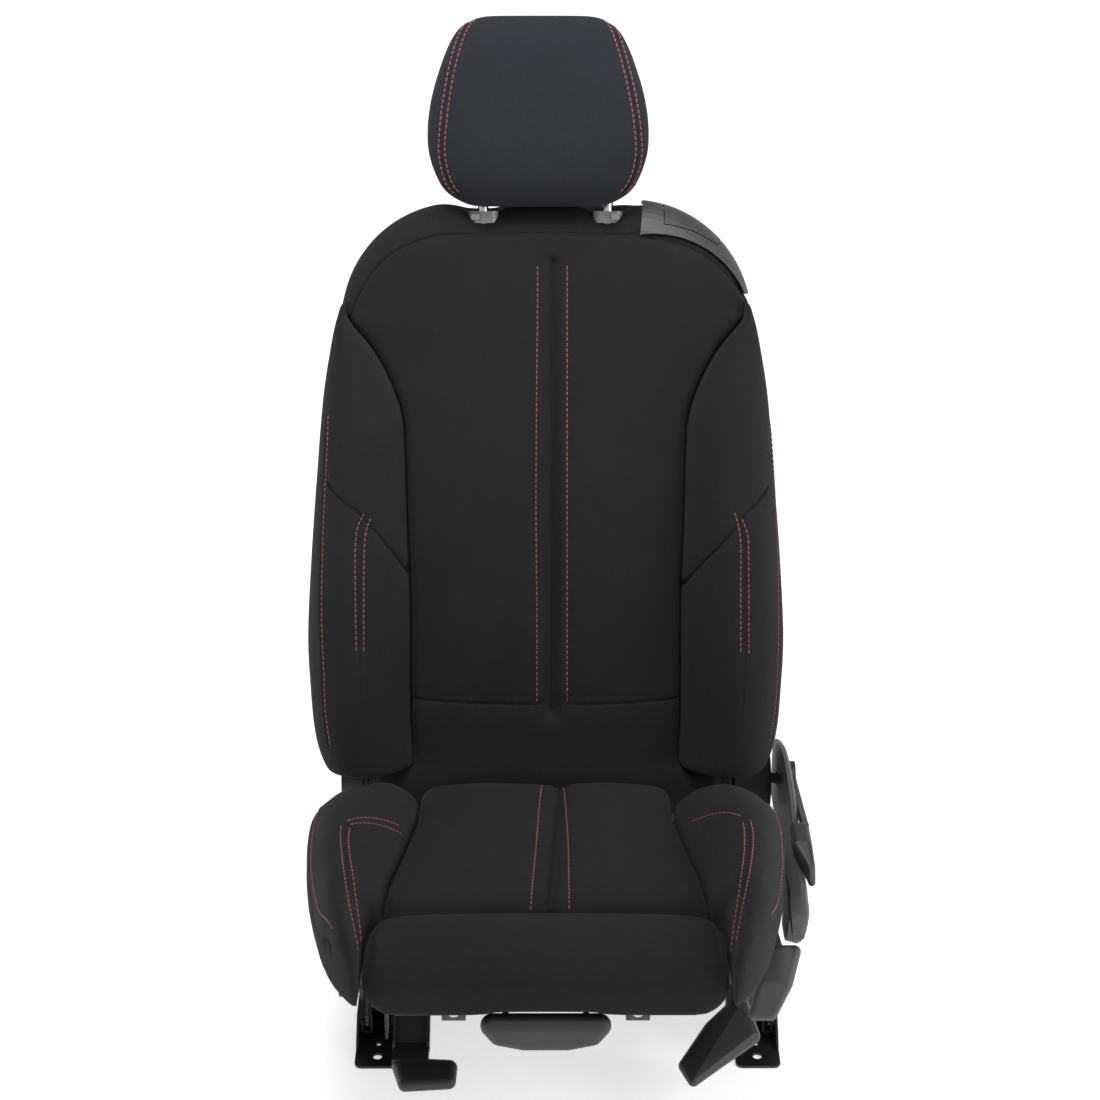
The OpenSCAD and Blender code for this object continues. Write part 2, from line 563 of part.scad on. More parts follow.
function back_ring(s, front, back_t) = let (h = (s > 540 ? back_half(s) : s < 22.5 ? 193 : seam_half(s) - 1), round_w = s > 540 ? 42 : 14,
    rd = s > 540 ? 36 : 16)
    [for (p = [[-h + 2, back_t], [-h, front + rd], [-h + 0.1 * round_w, front + 0.55 * rd], [-h + 0.35 * round_w, front + 0.22 * rd],
        [-h + round_w, front], [-h / 2, front - 4], [0, front - 3], [h / 2, front - 4], [h - round_w, front],
        [h - 0.35 * round_w, front + 0.22 * rd], [h - 0.1 * round_w, front + 0.55 * rd], [h, front + rd], [h - 2, back_t]])
        [p.x, p.y, s + top_dip(p.x, s)]];

function top_front(s) = back_front_t + 42 * (1 - sqrt(1 - pow(clamp01((s - 618) / 51), 2)));

module sleeve_pockets() for (x = [-1, 1]) translate([x * post_spacing / 2, -42, 0]) {
    translate([-15, -11.5, 500]) cube([30, 56, 64]);
    translate([0, 0, 500]) cylinder(r = 12, h = 200);
    translate([-18.5, -19.5, 641]) cube([37, 34, 60]);
}

module backrest_center_pad() color([0.035, 0.035, 0.038]) on_back() difference() {
    loft([back_ring(-28, back_front_t + 20, -42), back_ring(-16, back_front_t + 12, -42), back_ring(-6, back_front_t + 4, -41),
        back_ring(4, back_front_t + 1, -39), back_ring(22, back_front_t + 1, -31), back_ring(22.8, back_front_t + 1, -31),
        back_ring(30, back_front_t, -28),
        for (s = [60, 140, 220, 300, 380, 430, 465, 495, 520, 538]) back_ring(s, back_front_t, -20),
        for (s = [546, 570, 595, 618, 635, 650, 660]) back_ring(s, top_front(s), 16),
        back_ring(666, top_front(664), 14)]);
    sleeve_pockets();
    translate([-member_x, 0, 548]) rotate([0, 90, 0]) cylinder(r = 12, h = 2 * member_x);
    for (x = [-1, 1]) translate([x * (hub_x - 1.5) - 3, -21, 530]) cube([6, 38, 32]);
    bar_x(117, 175, 3.6, lever_axis.x, lever_axis.y);
    translate([shoulder.x, 0, shoulder.y]) rotate([90, 0, 0]) shoulder_band(12, 86, 1.5, 0);
}

function back_bolster_ring(s) = let (xi = seam_half(s) + 1, xo = back_half(s), f = back_front_t, r = back_bolster(s),
    w = max(1, xo - xi), rear = s < 62 ? -47 : 17, inner = s < 62 ? xi + 4 : max(xi + 0.1, hub_x + 1.2), step = s < 62 ? -47 : -22)
    [for (p = [[xi, step], [xi, f + 14], [xi + 0.1 * w, f - 0.25 * r], [xi + 0.36 * w, f - 0.84 * r], [xi + 0.6 * w, f - r],
        [xi + 0.82 * w, f - 0.82 * r], [xo - 0.06 * w, f - 0.3 * r], [xo, f + 26], [xo - 1, min(rear - 1, -12)], [xo - 0.08 * w, rear],
        [min(inner, xo - 0.12 * w), rear], [min(inner, xo - 0.12 * w), step]]) [p.x, p.y, s]];

module backrest_bolster(side) color([0.03, 0.03, 0.033]) on_back() mirror([side > 0 ? 0 : 1, 0, 0]) difference() {
    loft([for (s = [24, 32, 45, 61.9, 62.1, 100, 150, 210, 270, 330, 385, 430, 470, 500, 525, 540]) back_bolster_ring(s)]);
    if (side > 0) translate([hub_x, -17, 260]) cube([26, 36, 164]);
}

// ---------- shoulder trim and fold-forward lever ----------

// A quarter-round band round the shoulder corner, from angle a0 to a1, in the corner's own frame
// (axis along -t). It stands off the pad's skin by `off` and is `thick` deep, or takes all outside the skin when 0.
module shoulder_band(a0, a1, off, thick) rotate([0, 0, a0]) rotate_extrude(angle = a1 - a0) {
    inner = [for (p = [0:10:90]) [97 + (40 + off) * sin(p), 33 + (41 + off) * cos(p)]];
    outer = [for (p = [90:-10:0]) [97 + (40 + off + thick) * sin(p), 33 + (41 + off + thick) * cos(p)]];
    if (thick > 0) polygon(concat(inner, [[137 + off, -15.6], [137 + off + thick, -15.6]], outer));
    else polygon(concat([for (p = [0:10:90]) [97 + (40 - off) * sin(p), 33 + (41 - off) * cos(p)]],
        [[137 - off, -80], [170, -80], [170, 100], [97, 100]]));
}

crescent = [25, -15];   // centre of the arc where the fabric meets the trim, from the corner's centre

module lever_region(grow) {
    difference() {
        translate([38 - grow, 20, -8 - 2.5 * grow]) cube([100, 140, 108]);
        translate([crescent.x, crescent.y, -80]) cylinder(r = 126 - grow, h = 200);
        rotate([0, 0, 42 - grow / 2]) translate([0, -200, -80]) cube([300, 200, 200]);
    }
}

module shoulder_trim() color([0.19, 0.19, 0.2]) on_back() translate([shoulder.x, 0, shoulder.y]) rotate([90, 0, 0]) difference() {
    shoulder_band(14, 84, -1, 3);
    translate([crescent.x, crescent.y, -80]) cylinder(r = 114.5, h = 200);
    lever_region(trim_gap);
}

module shoulder_lever() color([0.17, 0.17, 0.175]) on_back() {
    translate([shoulder.x, 0, shoulder.y]) rotate([90, 0, 0]) intersection() {
        shoulder_band(14, 84, -0.8, 3);
        lever_region(0);
    }
    bar_x(120, 147, 2.5, lever_axis.x, lever_axis.y);
}

// ---------- headrest ----------

module headrest_sleeves() color([0.2, 0.2, 0.2]) on_back() for (x = [-1, 1]) translate([x * post_spacing / 2, -42, 0]) difference() {
    union() {
        translate([0, 0, 500]) cylinder(r = 10.8, h = 144);
        translate([0, 0, 643]) linear_extrude(13) rounded_2d(34, 26, 9);
    }
    translate([0, 0, 490]) cylinder(r = post_r + 0.05, h = 190);
    translate([x * 8 - 5, -20, 646]) cube([10, 16, 7]);
}

module headrest_button(side) color([0.25, 0.25, 0.255]) on_back() translate([side * post_spacing / 2 + side * 8, -42, 0])
    translate([-4.7, -17, 646.3]) cube([9.4, 8, 6.4]);

module headrest_posts() color([0.55, 0.55, 0.56]) on_back() for (x = [-1, 1]) translate([x * post_spacing / 2, -42, 520])
    cylinder(r = post_r, h = 240);

module headrest_core() color([0.15, 0.15, 0.15]) on_back() difference() {
    translate([-88, -60, 700]) cube([176, 34, 80]);
    for (x = [-1, 1]) translate([x * post_spacing / 2, -42, 600]) cylinder(r = post_r, h = 160);
}

headrest_knots = [[660, 70], [666, 86], [678, 104], [700, 116], [721, 122], [743, 123], [765, 121], [787, 116.5], [808, 110],
    [830, 102], [851, 91], [862, 79], [869, 62]];
headrest_front = [[660, -84], [666, -98], [680, -110], [710, -118], [760, -121], [810, -118], [845, -108], [862, -94], [869, -80]];
headrest_back = [[660, -40], [666, -26], [680, -14], [710, -9], [760, -10], [810, -18], [845, -30], [862, -44], [869, -58]];

function headrest_ring(s) = let (h = curve(headrest_knots, s), f = curve(headrest_front, s), b = curve(headrest_back, s),
    c = (f + b) / 2, d = (b - f) / 2)
    [for (i = [0:19]) let (a = i * 18, ca = cos(a), sa = sin(a))
        [headrest_x + h * sign(ca) * pow(abs(ca), 0.62), c + d * sign(sa) * pow(abs(sa), 0.62), s]];

module headrest_pad() color([0.04, 0.04, 0.045]) on_back() difference() {
    loft([for (s = [661, 666, 674, 686, 705, 730, 760, 790, 815, 838, 855, 864, 869]) headrest_ring(s)]);
    for (x = [-1, 1]) translate([x * post_spacing / 2, -42, 600]) cylinder(r = post_r + 0.3, h = 130);
    translate([-88.3, -60.3, 699.7]) cube([176.6, 34.6, 80.6]);
}

// ---------- output ----------

lower_rail(-1);  // lower_rail_inboard
lower_rail(1);  // lower_rail_outboard
latch_strips();
rail_end_caps();
upper_rail(-1);  // upper_rail_inboard
upper_rail(1);  // upper_rail_outboard
rail_glides();
link_brackets();
link_pins();
release_bearings();
release_tube();
release_paddle();
release_grip();
link_pair(0);  // front_links
torque_tube(0);  // front_torque_tube
link_pair(1);  // rear_links
torque_tube(1);  // rear_torque_tube
side_member(-1);  // side_member_inboard
side_member(1);  // side_member_outboard
cushion_pan();
rear_cross_tube();
seat_springs();
height_pump();
recliner_bases();
recliner_cap();
side_trim();
thigh_guide_tubes();
cushion_center_pad();
cushion_bolster(-1);  // cushion_bolster_inboard
cushion_bolster(1);  // cushion_bolster_outboard
thigh_pad();
thigh_tray();
thigh_rods();
thigh_bellows();
thigh_handle();
height_lever();
recline_lever();
recliner_shaft();
backrest_member(-1);  // backrest_member_inboard
backrest_member(1);  // backrest_member_outboard
upper_crossmember();
lower_crossmember();
recliner_hubs();
suspension_mat();
lumbar_plate();
airbag_module();
back_shell();
backrest_center_pad();
backrest_bolster(-1);  // backrest_bolster_inboard
backrest_bolster(1);  // backrest_bolster_outboard
headrest_sleeves();
shoulder_trim();
shoulder_lever();
headrest_button(-1);  // headrest_button_inboard
headrest_button(1);  // headrest_button_outboard
headrest_posts();
headrest_core();
headrest_pad();
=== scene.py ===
import math

import bmesh
import bpy
import numpy as np
from mathutils import Matrix, Vector
from mathutils.bvhtree import BVHTree
from mathutils.kdtree import KDTree


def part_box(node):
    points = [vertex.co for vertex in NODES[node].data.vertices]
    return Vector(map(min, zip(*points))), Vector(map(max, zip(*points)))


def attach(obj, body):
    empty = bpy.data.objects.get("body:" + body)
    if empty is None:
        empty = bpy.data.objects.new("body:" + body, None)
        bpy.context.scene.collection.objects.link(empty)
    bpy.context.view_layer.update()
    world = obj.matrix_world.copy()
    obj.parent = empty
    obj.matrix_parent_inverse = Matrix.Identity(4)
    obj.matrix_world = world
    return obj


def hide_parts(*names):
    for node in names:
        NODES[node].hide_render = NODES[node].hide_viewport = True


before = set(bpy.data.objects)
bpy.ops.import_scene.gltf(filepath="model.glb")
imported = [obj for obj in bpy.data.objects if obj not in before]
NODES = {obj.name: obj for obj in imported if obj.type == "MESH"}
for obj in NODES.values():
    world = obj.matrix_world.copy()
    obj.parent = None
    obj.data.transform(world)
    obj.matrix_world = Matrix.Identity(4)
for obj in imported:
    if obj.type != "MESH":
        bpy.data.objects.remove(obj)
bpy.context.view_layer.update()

MM = 0.001

# ---------- the seat's frame and the backrest's frame ----------
# Soft pieces are written in millimetres from the seat's own origin (x, y, z), or in the leaning backrest's
# frame (x, t backwards through the backrest, s up along it, from the recliner pivot).

RECLINE = math.radians(20.5)
PIVOT_Y, PIVOT_Z = 165.0, 215.0


def middle(*names):
    """The middle of the box round the named nodes."""
    boxes = [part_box(n) for n in names]
    lo = [min(b[0][i] for b in boxes) for i in range(3)]
    hi = [max(b[1][i] for b in boxes) for i in range(3)]
    return [(a + b) / 2 for a, b in zip(lo, hi)]


SEAT_X = middle("side_member_inboard", "side_member_outboard")[0]
_, SHAFT_Y, SHAFT_Z = middle("recliner_shaft")
SEAT = Matrix.Translation((SEAT_X, SHAFT_Y - PIVOT_Y * MM, SHAFT_Z - PIVOT_Z * MM))
BACK = Matrix.Translation((SEAT_X, SHAFT_Y, SHAFT_Z)) @ Matrix.Rotation(-RECLINE, 4, "X")

# ---------- curves through knots ----------


def smooth(t):
    """Rises from 0 to 1 as t does, with a level start and end."""
    t = min(1.0, max(0.0, t))
    return t * t * (3 - 2 * t)


def curve(knots, v):
    """Smooth interpolation through (position, value) knots in rising order of position."""
    i = 0
    while i < len(knots) - 2 and v >= knots[i + 1][0]:
        i += 1

    def slope(j):
        a, b = knots[max(j - 1, 0)], knots[min(j + 1, len(knots) - 1)]
        return (b[1] - a[1]) / (b[0] - a[0])

    (x0, y0), (x1, y1) = knots[i], knots[i + 1]
    h = x1 - x0
    t = min(1.0, max(0.0, (v - x0) / h))
    return ((2 * t**3 - 3 * t * t + 1) * y0 + (t**3 - 2 * t * t + t) * h * slope(i)
            + (3 * t * t - 2 * t**3) * y1 + (t**3 - t * t) * h * slope(i + 1))


def ring(points, rounds=2):
    """A closed line of points with its corners cut, so that it turns smoothly."""
    p = np.array(points, float)
    for _ in range(rounds):
        q = np.roll(p, -1, axis=0)
        p = np.stack([0.75 * p + 0.25 * q, 0.25 * p + 0.75 * q], axis=1).reshape(-1, p.shape[1])
    return p


def length_along(points):
    """For each point of a line: the length of the line up to it."""
    return np.concatenate([[0], np.cumsum(np.linalg.norm(np.diff(points, axis=0), axis=1))])


def through(points, step):
    """Points at an even step along a smooth line through the given ones."""
    p = np.array(points, float)
    if len(p) == 2:
        dense = np.linspace(p[0], p[1], 200)
    else:
        ends = np.vstack([2 * p[0] - p[1], p, 2 * p[-1] - p[-2]])
        dense = []
        for i in range(len(p) - 1):
            a, b, c, d = ends[i:i + 4]
            t = np.linspace(0, 1, 80)[:, None]
            dense.append(0.5 * (2 * b + (c - a) * t + (2 * a - 5 * b + 4 * c - d) * t**2
                                + (3 * b - a - 3 * c + d) * t**3))
        dense = np.vstack(dense)
    gap = np.linalg.norm(np.diff(dense, axis=0), axis=1)
    dense = dense[np.concatenate([[True], gap > 1e-9])]
    run = length_along(dense)
    at = np.linspace(0, run[-1], max(2, int(round(run[-1] / step)) + 1))
    return np.stack([np.interp(at, run, dense[:, k]) for k in range(p.shape[1])], axis=1)


# ---------- materials ----------


class Shader:
    """A node material with one Principled shader, and short calls for the nodes that feed it."""

    def __init__(self, name, base, rough, **sockets):
        self.mat = bpy.data.materials.new(name)
        self.mat.use_nodes = True
        self.tree = self.mat.node_tree
        self.bsdf = self.tree.nodes["Principled BSDF"]
        self.set("Base Color", (*base, 1))
        self.set("Roughness", rough)
        for key, value in sockets.items():
            self.set(key.replace("_", " "), value)
        self.mat.diffuse_color = (*base, 1)
        coords = self.node("ShaderNodeTexCoord")
        self.object, self.normal = coords.outputs["Object"], coords.outputs["Normal"]

    def set(self, socket, value):
        self.bsdf.inputs[socket].default_value = value

    def node(self, kind, inputs=None, **fields):
        n = self.tree.nodes.new(kind)
        for key, value in fields.items():
            setattr(n, key, value)
        for key, value in (inputs or {}).items():
            if isinstance(value, bpy.types.NodeSocket):
                self.tree.links.new(value, n.inputs[key])
            else:
                n.inputs[key].default_value = value
        return n

    def vector(self, op, a, b=None, out="Vector"):
        inputs = {0: a} if b is None else {0: a, 1: b}
        return self.node("ShaderNodeVectorMath", inputs, operation=op).outputs[out]

    def math(self, op, a, b, clamp=False):
        n = self.node("ShaderNodeMath", {0: a, 1: b}, operation=op)
        n.use_clamp = clamp
        return n.outputs[0]

    def noise(self, scale, detail=3.0, rough=0.55, stretch=None):
        v = self.object if stretch is None else self.vector("MULTIPLY", self.object, stretch)
        return self.node("ShaderNodeTexNoise", {"Vector": v, "Scale": scale, "Detail": detail,
                                                "Roughness": rough}).outputs["Fac"]

    def ramp(self, value, low, high, out_low=0.0, out_high=1.0):
        return self.node("ShaderNodeMapRange", {"Value": value, "From Min": low, "From Max": high,
                                                "To Min": out_low, "To Max": out_high}).outputs["Result"]

    def mix(self, fac, a, b):
        n = self.node("ShaderNodeMix", data_type="RGBA")
        for i, value in ((0, fac), (6, a), (7, b)):
            if isinstance(value, bpy.types.NodeSocket):
                self.tree.links.new(value, n.inputs[i])
            else:
                n.inputs[i].default_value = (*value, 1) if i else value
        return n.outputs[2]

    def edges(self, radius):
        """1 on convex and concave edges of the mesh within that radius, 0 on flat faces."""
        bevel = self.node("ShaderNodeBevel", {"Radius": radius}, samples=4)
        geometry = self.node("ShaderNodeNewGeometry")
        dot = self.vector("DOT_PRODUCT", bevel.outputs[0], geometry.outputs["Normal"], out="Value")
        return self.ramp(self.math("SUBTRACT", 1.0, dot), 0.02, 0.22)

    def colour(self, value):
        self.tree.links.new(value, self.bsdf.inputs["Base Color"])

    def rough(self, value):
        self.tree.links.new(value, self.bsdf.inputs["Roughness"])

    def bump(self, height, distance, strength, under=None):
        inputs = {"Height": height, "Distance": distance, "Strength": strength}
        if under is not None:
            inputs["Normal"] = under
        n = self.node("ShaderNodeBump", inputs)
        self.tree.links.new(n.outputs[0], self.bsdf.inputs["Normal"])
        return n.outputs[0]


def cloth(name, dark, light, pitch):
    """Woven seat cloth: fine threads over and under, with painted shade in the low places between them, a soft
    nap, and a little variation in tone.
    """
    s = Shader(name, dark, 0.9, Specular_IOR_Level=0.12, Sheen_Weight=0.035, Sheen_Roughness=0.5,
               Sheen_Tint=(0.85, 0.87, 0.92, 1))
    turns = 2 * math.pi / pitch
    wave = s.vector("SINE", s.vector("MULTIPLY", s.object, (turns, turns, turns)))
    x, y, z = s.node("ShaderNodeSeparateXYZ", {0: wave}).outputs
    pairs = s.node("ShaderNodeCombineXYZ", {0: s.math("MULTIPLY", y, z), 1: s.math("MULTIPLY", x, z),
                                            2: s.math("MULTIPLY", x, y)}).outputs[0]
    facing = s.vector("ABSOLUTE", s.normal)
    weave = s.vector("DOT_PRODUCT", pairs, facing, out="Value")
    fibre = s.noise(2600, 2, 0.6)
    shade = s.noise(9, 4, 0.5)
    blotch = s.noise(140, 3, 0.6)
    height = s.math("ADD", s.math("MULTIPLY", weave, 0.5), s.math("MULTIPLY", fibre, 0.9))
    # the low places of the weave take the dark tone: painted shade in the weave's valleys, over a real random
    # tone of the fibres
    mixed = s.mix(s.ramp(height, 0.05, 0.85), dark, light)
    tone = s.math("ADD", s.ramp(shade, 0.3, 0.7, 0.9, 1.08), s.ramp(blotch, 0.25, 0.75, -0.07, 0.07))
    s.colour(s.node("ShaderNodeVectorMath", {0: mixed, "Scale": tone}, operation="SCALE").outputs["Vector"])
    s.rough(s.ramp(fibre, 0.3, 0.7, 0.82, 0.97))
    s.bump(height, 0.00035, 0.75, s.bump(blotch, 0.0012, 0.35))
    return s.mat


def thread(name, dark, light):
    """Twisted sewing thread, a little worn, with painted shade in the grooves of its twist."""
    s = Shader(name, light, 0.62, Specular_IOR_Level=0.4, Sheen_Weight=0.35, Sheen_Roughness=0.4)
    waves = {"Vector": s.object, "Scale": 520.0, "Distortion": 1.5, "Detail": 1.0}
    twist = s.node("ShaderNodeTexWave", waves, bands_direction="DIAGONAL").outputs["Fac"]
    worn = s.noise(60, 2)
    # darker in the grooves of the twist: painted shade, with a real worn tone mixed in
    s.colour(s.mix(s.math("ADD", s.math("MULTIPLY", twist, 0.6), s.math("MULTIPLY", worn, 0.4)), dark, light))
    s.bump(twist, 0.0003, 0.8)
    s.rough(s.ramp(worn, 0.3, 0.7, 0.55, 0.75))
    return s.mat


def plastic(name, base, worn, rough, grain=1500.0, depth=0.00018):
    """Moulded plastic with a fine leather-like grain, a little polished at its edges, which are painted
    lighter: partly rubbed wear, partly a painted highlight.
    """
    s = Shader(name, base, rough, Specular_IOR_Level=0.5)
    cells = s.node("ShaderNodeTexVoronoi", {"Vector": s.object, "Scale": grain * 0.55},
                   feature="SMOOTH_F1").outputs["Distance"]
    fine, broad = s.noise(grain, 2), s.noise(22, 3)
    edge = s.edges(0.0016)
    shade = s.mix(s.ramp(broad, 0.3, 0.7), tuple(c * 0.88 for c in base), tuple(c * 1.1 for c in base))
    # edges take the lighter worn colour: partly rubbed wear, partly a painted edge highlight
    s.colour(s.mix(s.math("MULTIPLY", edge, 0.5), shade, worn))
    polish = s.math("MULTIPLY", edge, -0.12)
    s.rough(s.math("ADD", s.ramp(fine, 0.3, 0.7, rough - 0.05, rough + 0.08), polish))
    s.bump(s.math("ADD", s.math("MULTIPLY", cells, 0.8), fine), depth, 0.55)
    return s.mat


def painted(name, base, worn, rough):
    """Black coated steel: slight orange peel, dust in the shade and bare, scuffed edges, whose lighter colour
    is partly wear and partly a painted highlight.
    """
    s = Shader(name, base, rough, Specular_IOR_Level=0.5, Metallic=0.15)
    peel, scuff, broad = s.noise(420, 2), s.noise(900, 3, 0.7, (1, 0.08, 1)), s.noise(16, 4)
    edge = s.math("MULTIPLY", s.edges(0.0014), s.ramp(s.noise(90, 3), 0.35, 0.6), clamp=True)
    shade = s.mix(s.ramp(broad, 0.3, 0.75), base, tuple(c * 1.7 + 0.004 for c in base))
    # patches of the edges take the lighter worn colour: partly bare scuffs, partly a painted edge highlight
    s.colour(s.mix(s.math("MULTIPLY", edge, 0.6), shade, worn))
    dust = s.math("MULTIPLY", broad, 0.08)
    s.rough(s.math("ADD", s.ramp(scuff, 0.3, 0.75, rough - 0.06, rough + 0.14), dust))
    s.bump(s.math("ADD", peel, s.math("MULTIPLY", scuff, 0.4)), 0.00012, 0.5)
    return s.mat


def metal(name, base, rough, stretch, depth=0.00005):
    """Bare or plated steel with fine drawn lines and a few smudges."""
    s = Shader(name, base, rough, Metallic=1.0)
    lines, smudge = s.noise(1400, 3, 0.6, stretch), s.noise(40, 3)
    s.colour(s.mix(s.ramp(smudge, 0.3, 0.75), tuple(c * 0.8 for c in base), base))
    film = s.math("MULTIPLY", smudge, 0.1)
    s.rough(s.math("ADD", s.ramp(lines, 0.3, 0.7, rough - 0.06, rough + 0.1), film))
    s.bump(lines, depth, 0.5)
    return s.mat


CLOTH = cloth("seat_cloth", (0.0052, 0.0052, 0.0054), (0.0165, 0.0165, 0.0168), 0.0017)
# the headrest's cloth is a lighter, bluer copy of the seat cloth: painted light from above and a painted bluish
# reflected tint
CLOTH_HEAD = cloth("headrest_cloth", (0.0062, 0.0072, 0.0092), (0.0185, 0.0212, 0.0265), 0.0015)
CLOTH_PLAIN = cloth("bolster_cloth", (0.0056, 0.0056, 0.0058), (0.018, 0.018, 0.0183), 0.0012)
THREAD = thread("red_thread", (0.10, 0.012, 0.018), (0.30, 0.045, 0.06))
TRIM = plastic("trim_grey", (0.052, 0.051, 0.056), (0.1, 0.1, 0.105), 0.5)
TRIM_TOP = plastic("shoulder_grey", (0.032, 0.032, 0.035), (0.062, 0.062, 0.065), 0.5)
SATIN = plastic("satin_grey", (0.2, 0.2, 0.205), (0.3, 0.3, 0.305), 0.3, depth=0.00008)
TRIM_DARK = plastic("trim_black", (0.022, 0.022, 0.024), (0.05, 0.05, 0.053), 0.45)
SHELL = plastic("shell_black", (0.016, 0.016, 0.0175), (0.04, 0.04, 0.042), 0.55, grain=1100.0,
                depth=0.00026)
GLIDE = plastic("glide_nylon", (0.42, 0.41, 0.37), (0.5, 0.49, 0.45), 0.4)
RAIL = painted("rail_black", (0.010, 0.010, 0.011), (0.16, 0.16, 0.165), 0.36)
FRAME = painted("frame_black", (0.014, 0.014, 0.015), (0.14, 0.14, 0.145), 0.46)
BRIGHT = metal("zinc_steel", (0.50, 0.50, 0.51), 0.34, (1, 0.06, 1))
CHROME = metal("chrome_steel", (0.72, 0.72, 0.73), 0.09, (1, 1, 0.05), depth=0.00001)

# ---------- mesh helpers ----------


def new_object(name, verts, faces):
    mesh = bpy.data.meshes.new(name)
    mesh.from_pydata([tuple(map(float, v)) for v in verts], [], faces)
    mesh.validate()
    obj = bpy.data.objects.new(name, mesh)
    bpy.context.scene.collection.objects.link(obj)
    return obj


def coords(obj):
    co = np.empty(len(obj.data.vertices) * 3, np.float32)
    obj.data.vertices.foreach_get("co", co)
    return co.reshape(-1, 3).astype(float)


def normals(obj):
    no = np.empty(len(obj.data.vertices) * 3, np.float32)
    obj.data.vertex_normals.foreach_get("vector", no)
    return no.reshape(-1, 3).astype(float)


def set_coords(obj, co):
    obj.data.vertices.foreach_set("co", co.astype(np.float32).ravel())
    obj.data.update()


def loft(name, rings):
    """A closed skin over rings with equal numbers of points, in millimetres."""
    n, m = len(rings[0]), len(rings)
    verts = [np.array(p, float) * MM for ring in rings for p in ring]
    faces = [[j * n + i, j * n + (i + 1) % n, (j + 1) * n + (i + 1) % n, (j + 1) * n + i]
             for j in range(m - 1) for i in range(n)]
    faces += [list(range(n - 1, -1, -1)), [(m - 1) * n + i for i in range(n)]]
    obj = new_object(name, verts, faces)
    edit = bmesh.new()
    edit.from_mesh(obj.data)
    bmesh.ops.recalc_face_normals(edit, faces=edit.faces)
    edit.to_mesh(obj.data)
    edit.free()
    return obj


def with_modifier(obj, kind, **fields):
    """Adds one modifier to the object and applies it."""
    m = obj.modifiers.new(kind.lower(), kind)
    for key, value in fields.items():
        setattr(m, key, value)
    graph = bpy.context.evaluated_depsgraph_get()
    mesh = bpy.data.meshes.new_from_object(obj.evaluated_get(graph))
    obj.modifiers.clear()
    old, obj.data = obj.data, mesh
    bpy.data.meshes.remove(old)
    return obj


def tree_of(obj):
    verts = [v.co.copy() for v in obj.data.vertices]
    faces = [list(p.vertices) for p in obj.data.polygons]
    return BVHTree.FromPolygons(verts, faces)


def relax(obj, rounds):
    """Evens out a mesh by moving each vertex half way to the mean of its neighbours."""
    e = np.empty(len(obj.data.edges) * 2, np.int32)
    obj.data.edges.foreach_get("vertices", e)
    e = e.reshape(-1, 2)
    co = coords(obj)
    count = np.bincount(e.ravel(), minlength=len(co))[:, None].clip(1)
    for _ in range(rounds):
        total = np.zeros_like(co)
        for k in range(3):
            total[:, k] = (np.bincount(e[:, 0], co[e[:, 1], k], len(co))
                           + np.bincount(e[:, 1], co[e[:, 0], k], len(co)))
        co += (total / count - co) * 0.5
    set_coords(obj, co)


FRONT = Vector((0, 1, 0))      # looking into the backrest
DOWN = Vector((0, 0, -1))      # looking down on the cushion
LINE_STEP = 3.0      # between two points of a seam, in millimetres
LINE_SHIFT = 0.37      # between the starts of two seams, in metres, so that they don't pucker alike


def on_surface(tree, knots, look, step=LINE_STEP):
    """A line drawn on the flat, laid on the surface that it meets when looking that way.
    It comes back as points and normals, in metres."""
    found = []
    for a, b in through(knots, step):
        if look == DOWN:
            start = Vector((a * MM, b * MM, 1.0))
        else:
            start = Vector((a * MM, -0.5 * look.y, b * MM))
        hit, normal, _, _ = tree.ray_cast(start, look)
        if hit is not None:
            found.append((hit, normal))
    return found


def laid(tree, lines):
    """The lines that find a surface, laid on it. Each line is its knots and the way to look."""
    found = [on_surface(tree, knots, way) for knots, way in lines]
    return [line for line in found if len(line) > 3]


def line_tree(lines):
    points = [(p, i, j) for i, line in enumerate(lines) for j, (p, _) in enumerate(line)]
    kd = KDTree(len(points))
    for n, (p, _, _) in enumerate(points):
        kd.insert(p, n)
    kd.balance()
    return kd, points


def distances(co, lines, far):
    """For each vertex nearer than far: its distance from the nearest line, and how far along that it is."""
    kd, points = line_tree(lines)
    d, run = np.full(len(co), 1.0), np.zeros(len(co))
    for n, p in enumerate(co):
        q, index, near = kd.find(p)
        if near > far:
            continue
        _, i, j = points[index]
        line = lines[i]
        a, b = line[max(j - 1, 0)][0], line[min(j + 1, len(line) - 1)][0]
        along = (b - a).normalized()
        off = Vector(p) - q
        t = off.dot(along)
        inner = 0 < j < len(line) - 1 or (j == 0 and t > 0) or (j == len(line) - 1 and t < 0)
        d[n] = (off - along * t).length if inner else off.length
        run[n] = j * (LINE_STEP * MM) + t + i * LINE_SHIFT
    return d, run


SWELL_FRAMES = 20
PIN_REACH = 0.011      # how far from a seam the cloth is free, in metres


